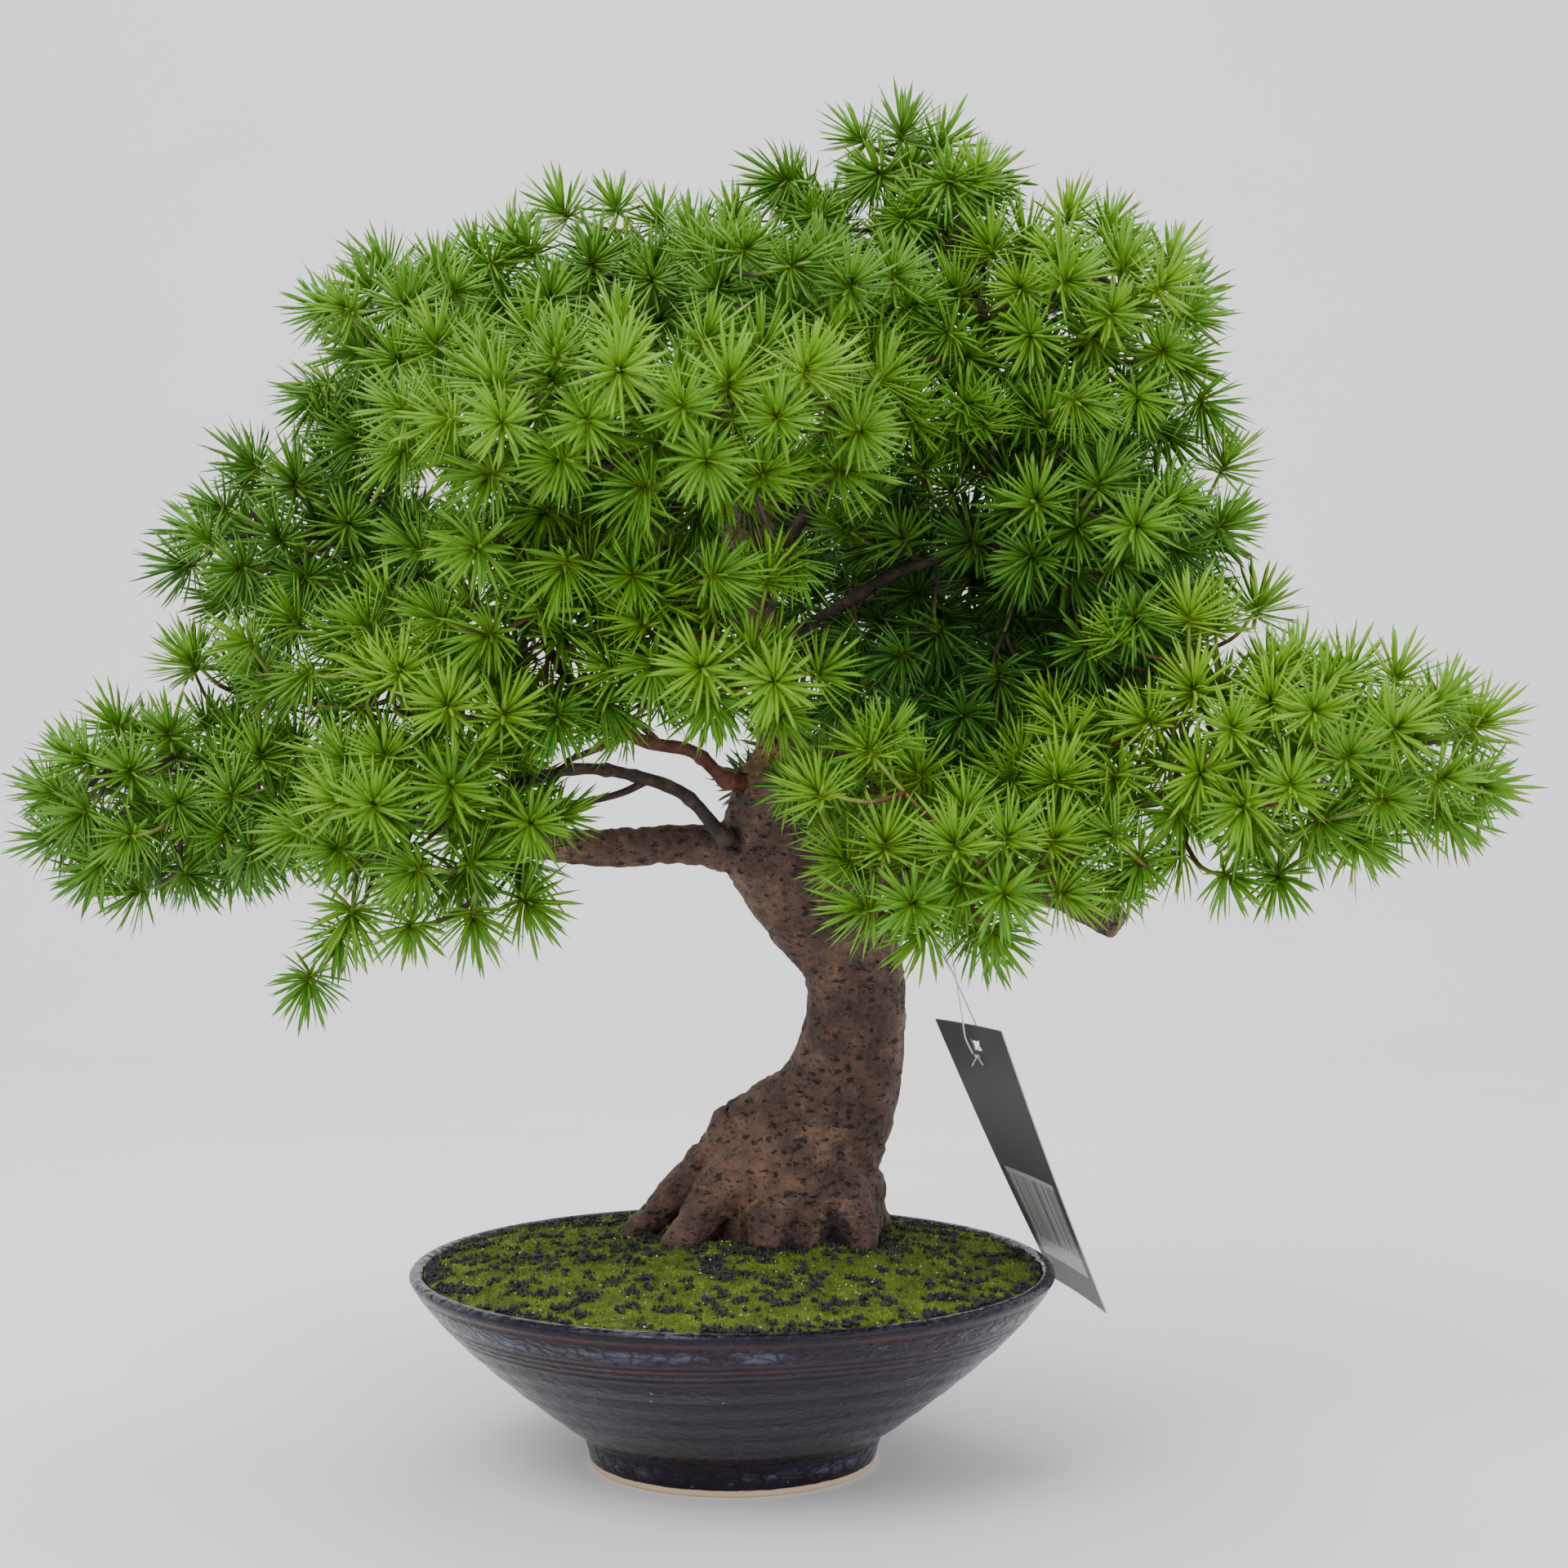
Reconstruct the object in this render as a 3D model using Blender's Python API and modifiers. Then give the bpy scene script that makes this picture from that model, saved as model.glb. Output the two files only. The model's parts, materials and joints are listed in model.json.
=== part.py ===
"""Artificial tabletop tree: a moulded trunk in a glazed bowl, with plug-in wire-cored branches.

Metres, +Z up. The origin is the centre of the bowl's foot, on the surface it stands on.
-Y is the front of the tree.
"""
import math
from collections import namedtuple

import bmesh
import bpy
from mathutils import Vector

# --- clearances ---------------------------------------------------------------------------
GAP = 0.0003            # between solids that touch
CUT_OVERRUN = 0.002     # how far a cutter runs past the face it opens

# --- bowl ---------------------------------------------------------------------------------
RIM_RADIUS = 0.1156
BOWL_HEIGHT = 0.0700
FOOT_RADIUS = 0.0510
FOOT_TOP_RADIUS = 0.0538
FOOT_HEIGHT = 0.0110
FOOT_RING_WIDTH = 0.0065
FOOT_RECESS = 0.0035
FLARE_POWER = 1.3       # how much the bowl's side swells past a straight cone
WALL_RUN = 0.0050       # wall thickness measured level
FLOOR_THICKNESS = 0.0065
LIP_ROUND = 0.0022
TURN_STEPS = 40
INNER_LEVELS = 5        # rings that the inner wall is turned from

# --- filling of the bowl: the foam block takes up what the other layers leave ----------------
BALLAST_DEPTH = 0.0240
SOIL_DEPTH = 0.0055
MOSS_THICKNESS = 0.0053
MOSS_EDGE_BELOW_RIM = 0.0010
MOSS_CROWN_RISE = 0.0045
PLATE_RADIUS = 0.0200
PLATE_THICKNESS = 0.0025
PLATE_X = 0.0060        # the plate lies on the flat of the floor, nearer the middle than the trunk
PLATE_Y = 0.0140

# --- trunk --------------------------------------------------------------------------------
TRUNK_X = 0.0210        # middle of the root flare
TRUNK_Y = 0.0460
TRUNK_IN_FOAM = 0.76        # how much of the foam's depth the trunk runs down through
DRAWN_RIM_LEVEL = 0.0700    # the heights of the tree's points are drawn over a rim at this level
BOLE_FOOT_TAPER = 0.0030
ROD_RADIUS = 0.0030
ROD_RISE = 0.1450           # how far the rod runs up inside the trunk
ROD_END_PLAY = 0.0020

# --- branches -----------------------------------------------------------------------------
STEM_RADIUS = 0.0026
STEM_TIP_RADIUS = 0.0018
WIRE_RADIUS = 0.0008
WIRE_SHARE = 0.72       # how much of the stem's length the wire runs
PLUG_DEPTH = 0.0070
SOCKET_PLAY = 0.0009    # lets the plug rock in its socket
SOCKET_END_PLAY = 0.0006
PAD_REACH = 0.55        # how far into its pad the stem goes, from its edge to its middle
PAD_NOTCH = 0.40        # depth of the hollows between a pad's knobs
PAD_SIDES = 14
PAD_RINGS = 8

# --- retail tag ---------------------------------------------------------------------------
TAG_WIDTH = 0.0450
TAG_LENGTH = 0.1110
TAG_THICKNESS = 0.0005
TAG_HOLE_RADIUS = 0.0022
TAG_HOLE_INSET = 0.0085
TAG_LEAN_ANGLE = 15.5   # where on the rim the card leans, round from +X
TAG_LEAN_DOWN = 0.0971  # how far down its left edge the card meets the rim
TAG_OFF_RIM = 0.0015
TAG_ACROSS = Vector((0.458, -0.889, 0.0))
TAG_DOWN = Vector((0.408, 0.210, -0.889))
THREAD_RADIUS = 0.0003
THREAD_SLACK = 0.0012   # how far the loop stands off the limb
THREAD_SPREAD = 0.0080  # half the distance along the limb between the loop's two strands
THREAD_LIMB_SHARE = 0.37
KNOT_RADIUS = 0.0014

PLASTIC_BROWN = (0.085, 0.045, 0.028)
PLASTIC_RED_BROWN = (0.150, 0.050, 0.028)
LEAF_GREEN = (0.130, 0.330, 0.030)
LEAF_MID = (0.085, 0.240, 0.026)
LEAF_DARK = (0.045, 0.160, 0.022)

Limb = namedtuple("Limb", "name sides per_span points")
Branch = namedtuple("Branch", "name host share aim route centre size bark leaf")


BOLE = Limb("bole", 14, 2, [
    (TRUNK_X, TRUNK_Y, 0.0600, 0.0300),
    (TRUNK_X, TRUNK_Y, 0.0760, 0.0330),
    (TRUNK_X + 0.0026, 0.0450, 0.0920, 0.0325),
    (TRUNK_X + 0.0055, 0.0440, 0.1060, 0.0298),
    (0.0345, 0.0420, 0.1170, 0.0245),
    (0.0410, 0.0400, 0.1310, 0.0205),
    (0.0452, 0.0360, 0.1530, 0.0178),
    (0.0430, 0.0320, 0.1776, 0.0182),
    (0.0290, 0.0270, 0.1960, 0.0188),
    (0.0162, 0.0220, 0.2142, 0.0186),
    (0.0135, 0.0180, 0.2292, 0.0160),
    (0.0150, 0.0150, 0.2411, 0.0118),
    (0.0180, 0.0120, 0.2589, 0.0082),
    (0.0140, 0.0090, 0.2794, 0.0078),
    (0.0081, 0.0050, 0.2999, 0.0076),
    (-0.0010, 0.0010, 0.3171, 0.0092),
])

SIDE_LIMBS = [
    Limb("leader", 10, 2, [
        (-0.0010, 0.0010, 0.3130, 0.0085),
        (0.0060, -0.0030, 0.3310, 0.0078),
        (0.0116, -0.0050, 0.3480, 0.0070),
    ]),
    Limb("fork", 10, 2, [
        (-0.0005, 0.0010, 0.3140, 0.0078),
        (-0.0200, -0.0040, 0.3165, 0.0070),
        (-0.0350, -0.0080, 0.3070, 0.0064),
        (-0.0450, -0.0100, 0.2985, 0.0058),
    ]),
    Limb("left_limb", 10, 2, [
        (0.0120, 0.0210, 0.2160, 0.0110),
        (-0.0180, 0.0180, 0.2190, 0.0064),
        (-0.0486, 0.0160, 0.2175, 0.0058),
        (-0.0820, 0.0130, 0.2220, 0.0056),
    ]),
    Limb("right_limb", 10, 2, [
        (0.0280, 0.0230, 0.2080, 0.0105),
        (0.0500, 0.0140, 0.2080, 0.0076),
        (0.0800, 0.0040, 0.2090, 0.0068),
        (0.1100, -0.0040, 0.2060, 0.0060),
        (0.1360, -0.0100, 0.1920, 0.0050),
    ]),
    Limb("stump", 10, 2, [
        (0.0138, 0.0130, 0.2270, 0.0130),
        (0.0100, 0.0040, 0.2470, 0.0086),
    ]),
]

ROOTS = [
    Limb("root_left", 8, 2, [
        (0.0040, 0.0400, 0.1070, 0.0120),
        (-0.0140, 0.0400, 0.0940, 0.0085),
        (-0.0290, 0.0410, 0.0800, 0.0055),
        (-0.0400, 0.0420, 0.0710, 0.0042),
    ]),
    Limb("root_front_left", 8, 2, [
        (0.0060, 0.0320, 0.1030, 0.0120),
        (-0.0060, 0.0250, 0.0900, 0.0088),
        (-0.0160, 0.0190, 0.0780, 0.0058),
        (-0.0230, 0.0150, 0.0710, 0.0044),
    ]),
    Limb("root_front", 8, 2, [
        (0.0180, 0.0320, 0.0980, 0.0150),
        (0.0140, 0.0190, 0.0840, 0.0105),
        (0.0110, 0.0080, 0.0715, 0.0052),
    ]),
    Limb("root_front_right", 8, 2, [
        (0.0350, 0.0340, 0.0960, 0.0140),
        (0.0430, 0.0200, 0.0820, 0.0090),
        (0.0480, 0.0110, 0.0715, 0.0052),
    ]),
    Limb("root_right", 8, 2, [
        (0.0380, 0.0490, 0.0950, 0.0130),
        (0.0470, 0.0570, 0.0820, 0.0085),
        (0.0530, 0.0630, 0.0715, 0.0052),
    ]),
    Limb("root_back", 8, 2, [
        (0.0220, 0.0580, 0.0950, 0.0130),
        (0.0180, 0.0730, 0.0820, 0.0085),
        (0.0140, 0.0830, 0.0715, 0.0052),
    ]),
    Limb("root_back_left", 8, 2, [
        (0.0060, 0.0500, 0.0970, 0.0120),
        (-0.0110, 0.0600, 0.0830, 0.0075),
        (-0.0230, 0.0670, 0.0712, 0.0048),
    ]),
]

# host and share: the limb, and how far along it the socket is. aim: the way the plug points.
BRANCHES = [
    Branch("left_tip", "left_limb", 1.0, (-1.0, 0.0, 0.12),
           [(-0.1080, 0.0110, 0.2270), (-0.1380, 0.0140, 0.2330)],
           (-0.2040, 0.0200, 0.2340), (0.0530, 0.0580, 0.0350), "brown", "mid"),
    Branch("left_low", "bole", 0.672, (-0.70, -0.62, 0.35),
           [(-0.0170, -0.0040, 0.2375), (-0.0340, -0.0180, 0.2445), (-0.0540, -0.0350, 0.2470)],
           (-0.1000, -0.0640, 0.2340), (0.0500, 0.0560, 0.0340), "brown", "bright"),
    Branch("left_front", "stump", 0.90, (-0.84, -0.50, 0.20),
           [(-0.0140, -0.0130, 0.2530), (-0.0330, -0.0300, 0.2580), (-0.0520, -0.0550, 0.2760)],
           (-0.0640, -0.0820, 0.2950), (0.0400, 0.0400, 0.0150), "red", "bright"),
    Branch("left_mid", "fork", 1.0, (-0.80, 0.10, -0.45),
           [(-0.0680, -0.0030, 0.2960), (-0.0950, 0.0120, 0.3060)],
           (-0.1520, 0.0350, 0.3280), (0.0540, 0.0560, 0.0370), "brown", "mid"),
    Branch("crown_left", "fork", 0.48, (-0.45, -0.15, 0.88),
           [(-0.0330, -0.0080, 0.3440), (-0.0610, -0.0120, 0.3740)],
           (-0.1150, -0.0180, 0.4040), (0.0330, 0.0500, 0.0260), "brown", "mid"),
    Branch("crown_front", "leader", 0.62, (-0.05, -0.95, 0.30),
           [(0.0040, -0.0310, 0.3480), (-0.0040, -0.0560, 0.3570)],
           (-0.0300, -0.1130, 0.3570), (0.0820, 0.0600, 0.0350), "brown", "bright"),
    Branch("crown_top", "leader", 1.0, (-0.05, 0.05, 1.0),
           [(0.0110, 0.0010, 0.3700), (0.0030, 0.0100, 0.3870)],
           (-0.0220, 0.0350, 0.4200), (0.0620, 0.0640, 0.0240), "brown", "mid"),
    Branch("crown_tip", "leader", 0.82, (0.80, 0.25, 0.55),
           [(0.0310, 0.0020, 0.3650), (0.0460, 0.0020, 0.3920), (0.0520, 0.0010, 0.4220)],
           (0.0580, 0.0000, 0.4620), (0.0240, 0.0240, 0.0160), "brown", "mid"),
    Branch("crown_right", "leader", 0.30, (0.85, -0.25, 0.45),
           [(0.0320, -0.0080, 0.3440), (0.0580, -0.0100, 0.3680)],
           (0.1150, -0.0060, 0.4040), (0.0560, 0.0660, 0.0360), "brown", "bright"),
    Branch("right_mid", "bole", 0.880, (0.75, 0.55, 0.35),
           [(0.0370, 0.0240, 0.2980), (0.0620, 0.0400, 0.3130)],
           (0.1220, 0.0760, 0.3200), (0.0590, 0.0560, 0.0340), "brown", "mid"),
    Branch("right_low", "right_limb", 0.76, (0.45, -0.45, 0.77),
           [(0.1230, -0.0190, 0.2240), (0.1400, -0.0330, 0.2350)],
           (0.1880, -0.0580, 0.2520), (0.0720, 0.0620, 0.0360), "red", "bright"),
    Branch("right_front", "bole", 0.525, (0.60, -0.78, 0.18),
           [(0.0610, -0.0050, 0.1900), (0.0640, -0.0270, 0.1980), (0.0680, -0.0520, 0.2060)],
           (0.0730, -0.0980, 0.2150), (0.0430, 0.0420, 0.0270), "red", "bright"),
    Branch("front_low", "bole", 0.870, (-0.05, -0.98, 0.18),
           [(0.0120, -0.0240, 0.2830), (0.0100, -0.0500, 0.2850)],
           (0.0060, -0.1050, 0.2750), (0.0320, 0.0360, 0.0180), "red", "bright"),
    Branch("back_low", "bole", 0.730, (0.00, 0.96, 0.28),
           [(0.0150, 0.0450, 0.2400), (0.0200, 0.0660, 0.2430)],
           (0.0520, 0.1250, 0.2410), (0.0600, 0.0460, 0.0340), "brown", "dark"),
    Branch("back_mid", "bole", 0.935, (-0.10, 0.90, 0.42),
           [(0.0020, 0.0300, 0.3120), (-0.0030, 0.0520, 0.3230)],
           (-0.0150, 0.1130, 0.3430), (0.0680, 0.0600, 0.0350), "brown", "dark"),
    Branch("right_high", "bole", 0.905, (0.90, -0.35, 0.26),
           [(0.0400, -0.0080, 0.3050), (0.0640, -0.0190, 0.3180)],
           (0.1250, -0.0350, 0.3310), (0.0500, 0.0450, 0.0260), "brown", "mid"),
]


# --- helpers --------------------------------------------------------------------------------
def make_material(name, colour, roughness, metallic=0.0):
    material = bpy.data.materials.new(name)
    material.use_nodes = True
    shader = material.node_tree.nodes["Principled BSDF"]
    shader.inputs["Base Color"].default_value = (*colour, 1.0)
    shader.inputs["Roughness"].default_value = roughness
    shader.inputs["Metallic"].default_value = metallic
    return material


def add_part(name, mesh, material):
    """Put a mesh in the tree's own collection, under its node's name."""
    part = bpy.data.objects.new(name, mesh)
    mesh.materials.clear()
    mesh.materials.append(material)
    mesh.shade_smooth()
    mesh.set_sharp_from_angle(angle=math.radians(40.0))
    TREE.objects.link(part)
    return part


def add_tool(name, mesh):
    """Put a mesh among the cutters and the pieces that are joined to others."""
    tool = bpy.data.objects.new(name, mesh)
    tool.hide_render = True
    tool.display_type = "WIRE"
    CUTTERS.objects.link(tool)
    return tool


def boolean(part, tool, operation):
    modifier = part.modifiers.new(tool.name, "BOOLEAN")
    modifier.operation = operation
    modifier.object = tool
    return modifier


def smooth_path(points, per_span):
    """Points on a Catmull-Rom curve through (x, y, z, radius) points."""
    knots = [Vector(point) for point in points]
    knots.insert(0, knots[0] * 2.0 - knots[1])
    knots.append(knots[-1] * 2.0 - knots[-2])
    path = []
    for i in range(1, len(knots) - 2):
        before, start, end, after = knots[i - 1:i + 3]
        for step in range(per_span):
            t = step / per_span
            path.append(0.5 * ((2.0 * start) + (end - before) * t
                               + (2.0 * before - 5.0 * start + 4.0 * end - after) * t * t
                               + (3.0 * start - before - 3.0 * end + after) * t ** 3))
    path.append(knots[-2])
    return path


def tube_mesh(name, path, sides, grow=0.0):
    """A closed tube along (x, y, z, radius) points, with flat welded ends."""
    curve = bpy.data.curves.new(name, "CURVE")
    curve.dimensions = "3D"
    curve.bevel_depth = 1.0
    curve.bevel_resolution = (sides - 4) // 2
    curve.use_fill_caps = True
    spline = curve.splines.new("POLY")
    spline.points.add(len(path) - 1)
    for knot, point in zip(spline.points, path):
        knot.co = (point[0], point[1], point[2], 1.0)
        knot.radius = point[3] + grow
    holder = bpy.data.objects.new(name, curve)
    CUTTERS.objects.link(holder)
    bpy.context.view_layer.update()
    evaluated = holder.evaluated_get(bpy.context.evaluated_depsgraph_get())
    mesh = bpy.data.meshes.new_from_object(evaluated)
    bpy.data.objects.remove(holder)
    bpy.data.curves.remove(curve)
    solid = bmesh.new()
    solid.from_mesh(mesh)
    bmesh.ops.remove_doubles(solid, verts=solid.verts, dist=0.00001)
    bmesh.ops.recalc_face_normals(solid, faces=solid.faces)
    solid.to_mesh(mesh)
    solid.free()
    return mesh


def turned_part(name, profile, material):
    """A solid turned round Z from (radius, z) points that start and end on the axis."""
    mesh = bpy.data.meshes.new(name)
    points = [(radius, 0.0, z) for radius, z in profile]
    mesh.from_pydata(points, [(i, i + 1) for i in range(len(points) - 1)], [])
    part = add_part(name, mesh, material)
    screw = part.modifiers.new("turn", "SCREW")
    screw.steps = TURN_STEPS
    screw.render_steps = TURN_STEPS
    screw.use_merge_vertices = True
    screw.merge_threshold = 0.00001
    screw.use_smooth_shade = True
    return part


def point_along(path, share):
    """The place at a share of a path's length, with its radius, and the way the path runs there."""
    spans = [(b.to_3d() - a.to_3d()).length for a, b in zip(path, path[1:])]
    target = min(max(share, 0.0), 1.0) * sum(spans)
    for i, span in enumerate(spans):
        if target <= span or i == len(spans) - 1:
            blend = min(target / span, 1.0)
            return path[i].lerp(path[i + 1], blend), (path[i + 1].to_3d() - path[i].to_3d()).normalized()
        target -= span


def start_of(path, share):
    """The first part of a path, up to a share of its length."""
    end, _ = point_along(path, share)
    kept = [path[0]]
    travelled = 0.0
    total = sum((b.to_3d() - a.to_3d()).length for a, b in zip(path, path[1:]))
    for a, b in zip(path, path[1:]):
        travelled += (b.to_3d() - a.to_3d()).length
        if travelled >= share * total:
            break
        kept.append(b)
    kept.append(end)
    return kept


def with_radius(path, radius):
    return [Vector((*point.to_3d(), radius)) for point in path]


# --- bowl and its filling -------------------------------------------------------------------
def outer_radius(z):
    t = (z - FOOT_HEIGHT) / (BOWL_HEIGHT - FOOT_HEIGHT)
    t = min(max(t, 0.0), 1.0)
    return FOOT_TOP_RADIUS + (RIM_RADIUS - FOOT_TOP_RADIUS) * (1.0 - (1.0 - t) ** FLARE_POWER)


def wall_levels(low, high, count):
    return [low + (high - low) * i / (count - 1) for i in range(count)]


def inner_levels():
    return wall_levels(FOOT_RECESS + FLOOR_THICKNESS, BOWL_HEIGHT - LIP_ROUND, INNER_LEVELS)


def inner_radius(z):
    """The bowl's inner wall: straight from each of its levels to the next, and upright at the lip."""
    levels = inner_levels()
    for low, high in zip(levels, levels[1:]):
        if z <= high or high == levels[-1]:
            share = min((z - low) / (high - low), 1.0)
            wide = outer_radius(low) * (1.0 - share) + outer_radius(high) * share
            return wide - WALL_RUN


def floor_level():
    return FOOT_RECESS + FLOOR_THICKNESS + GAP


def build_bowl():
    floor = FOOT_RECESS + FLOOR_THICKNESS
    lip_base = BOWL_HEIGHT - LIP_ROUND
    inside = [(0.0, floor)]
    inside += [(inner_radius(z), z) for z in inner_levels()]
    lip_inner = inner_radius(lip_base)
    lip_outer = outer_radius(lip_base)
    lip_middle = (lip_inner + lip_outer) / 2.0
    half_lip = (lip_outer - lip_inner) / 2.0
    lip = []
    for angle in (135.0, 90.0, 45.0):
        turn = math.radians(angle)
        lip.append((lip_middle + half_lip * math.cos(turn), lip_base + LIP_ROUND * math.sin(turn)))
    outside = [(outer_radius(z), z) for z in wall_levels(lip_base, FOOT_HEIGHT, 7)]
    recess_radius = FOOT_RADIUS - FOOT_RING_WIDTH
    foot = [
        (FOOT_RADIUS, 0.0),
        (recess_radius, 0.0),
        (recess_radius - FOOT_RECESS * 0.4, FOOT_RECESS),
        (0.0, FOOT_RECESS),
    ]
    glaze = make_material("bowl_glaze", (0.022, 0.022, 0.030), 0.28)
    return turned_part("bowl", inside + lip + outside + foot, glaze)


def layer_profile(low, high):
    """A layer that fills the bowl from one level to another, clear of its wall."""
    middle = (low + high) / 2.0
    sides = [(inner_radius(z) - GAP, z) for z in (high, middle, low)]
    return [(0.0, high)] + sides + [(0.0, low)]


def layer_levels():
    """Bottom and top of each filling, with a gap between layers."""
    ballast_low = floor_level()
    ballast_high = ballast_low + BALLAST_DEPTH
    moss_high = BOWL_HEIGHT - MOSS_EDGE_BELOW_RIM
    moss_low = moss_high - MOSS_THICKNESS
    soil_high = moss_low - GAP
    soil_low = soil_high - SOIL_DEPTH
    return {
        "ballast": (ballast_low, ballast_high),
        "foam": (ballast_high + GAP, soil_low - GAP),
        "soil": (soil_low, soil_high),
        "moss": (moss_low, moss_high),
    }


def build_filling():
    levels = layer_levels()
    cement = make_material("cement", (0.42, 0.40, 0.37), 0.9)
    foam = make_material("foam", (0.10, 0.17, 0.09), 0.95)
    soil = make_material("soil_granules", (0.018, 0.015, 0.012), 0.9)
    moss = make_material("moss_flock", (0.16, 0.20, 0.02), 0.95)
    ballast = turned_part("cement_ballast", layer_profile(*levels["ballast"]), cement)
    block = turned_part("foam_block", layer_profile(*levels["foam"]), foam)
    bed = turned_part("soil_layer", layer_profile(*levels["soil"]), soil)
    low, edge = levels["moss"]
    dome = [(0.0, edge + MOSS_CROWN_RISE)]
    for share in (0.4, 0.75):
        radius = inner_radius(edge) * share
        dome.append((radius, edge + MOSS_CROWN_RISE * (1.0 - share * share)))
    dome += [(inner_radius(z) - GAP, z) for z in (edge, low)]
    mat = turned_part("moss_mat", dome + [(0.0, low)], moss)
    return ballast, block, bed, mat


# --- trunk ----------------------------------------------------------------------------------
def lifted(point):
    """A point of the tree at its height over the rim that the bowl really has."""
    x, y, z = point[:3]
    return (x, y, z + BOWL_HEIGHT - DRAWN_RIM_LEVEL, *point[3:])


def trunk_foot():
    low, high = layer_levels()["foam"]
    return high - (high - low) * TRUNK_IN_FOAM


def limb_path(limb):
    points = [lifted(point) for point in limb.points]
    if limb is BOLE:
        x, y, _, radius = points[0]
        points.insert(0, (x, y, trunk_foot(), radius - BOLE_FOOT_TAPER))
    return smooth_path(points, limb.per_span)


def build_trunk(fillings):
    """The moulded trunk with its limbs and roots, let into the filling of the bowl."""
    bark = make_material("trunk_bark", (0.155, 0.085, 0.050), 0.8)
    trunk = add_part("trunk", tube_mesh("trunk", limb_path(BOLE), BOLE.sides), bark)
    for limb in ROOTS + SIDE_LIMBS:
        piece = add_tool(limb.name, tube_mesh(limb.name, limb_path(limb), limb.sides))
        boolean(trunk, piece, "UNION")
    _, block, bed, mat = fillings
    for limb, layers in [(BOLE, (block, bed, mat))] + [(root, (mat,)) for root in ROOTS]:
        mesh = tube_mesh(limb.name + "_pocket", limb_path(limb), limb.sides, grow=GAP)
        pocket = add_tool(limb.name + "_pocket", mesh)
        for layer in layers:
            boolean(layer, pocket, "DIFFERENCE")
    return trunk


def build_core_rod(trunk, fillings):
    """A cranked steel rod from the anchor plate up the middle of the trunk."""
    steel = make_material("rod_steel", (0.45, 0.45, 0.46), 0.4, 1.0)
    plate_top = floor_level() + PLATE_THICKNESS
    rod_foot = plate_top + GAP
    crank = [
        (PLATE_X, PLATE_Y, rod_foot, ROD_RADIUS),
        (PLATE_X, PLATE_Y, rod_foot + 2.0 * ROD_RADIUS, ROD_RADIUS),
        (TRUNK_X, TRUNK_Y, trunk_foot(), ROD_RADIUS),
        (TRUNK_X, TRUNK_Y, trunk_foot() + 4.0 * ROD_RADIUS, ROD_RADIUS),
    ]
    path = [Vector(crank[0])] + smooth_path(crank[1:], 3)
    for point in limb_path(BOLE):
        if path[-1].z + ROD_RADIUS < point.z < trunk_foot() + ROD_RISE:
            path.append(Vector((*point.to_3d(), ROD_RADIUS)))
    add_part("trunk_core_rod", tube_mesh("trunk_core_rod", path, 8), steel)
    heading = (path[-1].to_3d() - path[-2].to_3d()).normalized() * ROD_END_PLAY
    bore_top = Vector((*(path[-1].to_3d() + heading), ROD_RADIUS))
    bore_foot = path[0] - Vector((0.0, 0.0, GAP, 0.0))
    bore = add_tool("rod_bore", tube_mesh("rod_bore", [bore_foot] + path[1:] + [bore_top], 8, grow=GAP))
    for part in (fillings[0], fillings[1], trunk):
        boolean(part, bore, "DIFFERENCE")
    plate_profile = [
        (0.0, plate_top),
        (PLATE_RADIUS, plate_top),
        (PLATE_RADIUS, floor_level()),
        (0.0, floor_level()),
    ]
    plate = turned_part("anchor_plate", plate_profile, steel)
    plate.location = (PLATE_X, PLATE_Y, 0.0)
    pocket_mesh = bpy.data.meshes.new("plate_pocket")
    solid = bmesh.new()
    depth = PLATE_THICKNESS + GAP + CUT_OVERRUN
    bmesh.ops.create_cone(solid, cap_ends=True, segments=TURN_STEPS, radius1=PLATE_RADIUS + GAP,
                          radius2=PLATE_RADIUS + GAP, depth=depth)
    solid.to_mesh(pocket_mesh)
    solid.free()
    pocket = add_tool("plate_pocket", pocket_mesh)
    pocket.location = (PLATE_X, PLATE_Y, plate_top + GAP - depth / 2.0)
    boolean(fillings[0], pocket, "DIFFERENCE")


# --- branches -------------------------------------------------------------------------------
def socket_of(branch):
    """Where a branch's plug starts: the mouth of its socket, and the way it points out."""
    limbs = {limb.name: limb for limb in [BOLE] + SIDE_LIMBS}
    centre, along = point_along(limb_path(limbs[branch.host]), branch.share)
    aim = Vector(branch.aim).normalized()
    if branch.share >= 1.0:
        return centre.to_3d(), along
    side = (aim - along * aim.dot(along)).normalized()
    return centre.to_3d() + side * centre.w, aim


def hinge_of(branch):
    """The pivot that a branch bends about, at its plug's inner end, and the axis that raises it."""
    mouth, aim = socket_of(branch)
    pivot = mouth - aim * PLUG_DEPTH
    run = Vector(lifted(branch.centre)) - pivot
    level = Vector((run.x, run.y, 0.0)).normalized()
    return pivot, level.cross(Vector((0.0, 0.0, 1.0)))


def stem_path(branch):
    mouth, aim = socket_of(branch)
    centre = Vector(lifted(branch.centre))
    last = Vector(lifted(branch.route[-1]))
    inward = centre - last
    scaled = Vector([inward[i] / branch.size[i] for i in range(3)])
    edge = centre - inward / scaled.length
    tip = edge.lerp(centre, PAD_REACH)
    spine = [mouth - aim * PLUG_DEPTH, mouth, mouth + aim * PLUG_DEPTH]
    spine += [Vector(lifted(point)) for point in branch.route] + [tip]
    count = len(spine) - 1
    points = []
    for i, point in enumerate(spine):
        radius = STEM_RADIUS + (STEM_TIP_RADIUS - STEM_RADIUS) * i / count
        points.append((*point, radius))
    return smooth_path(points, 2)


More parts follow.
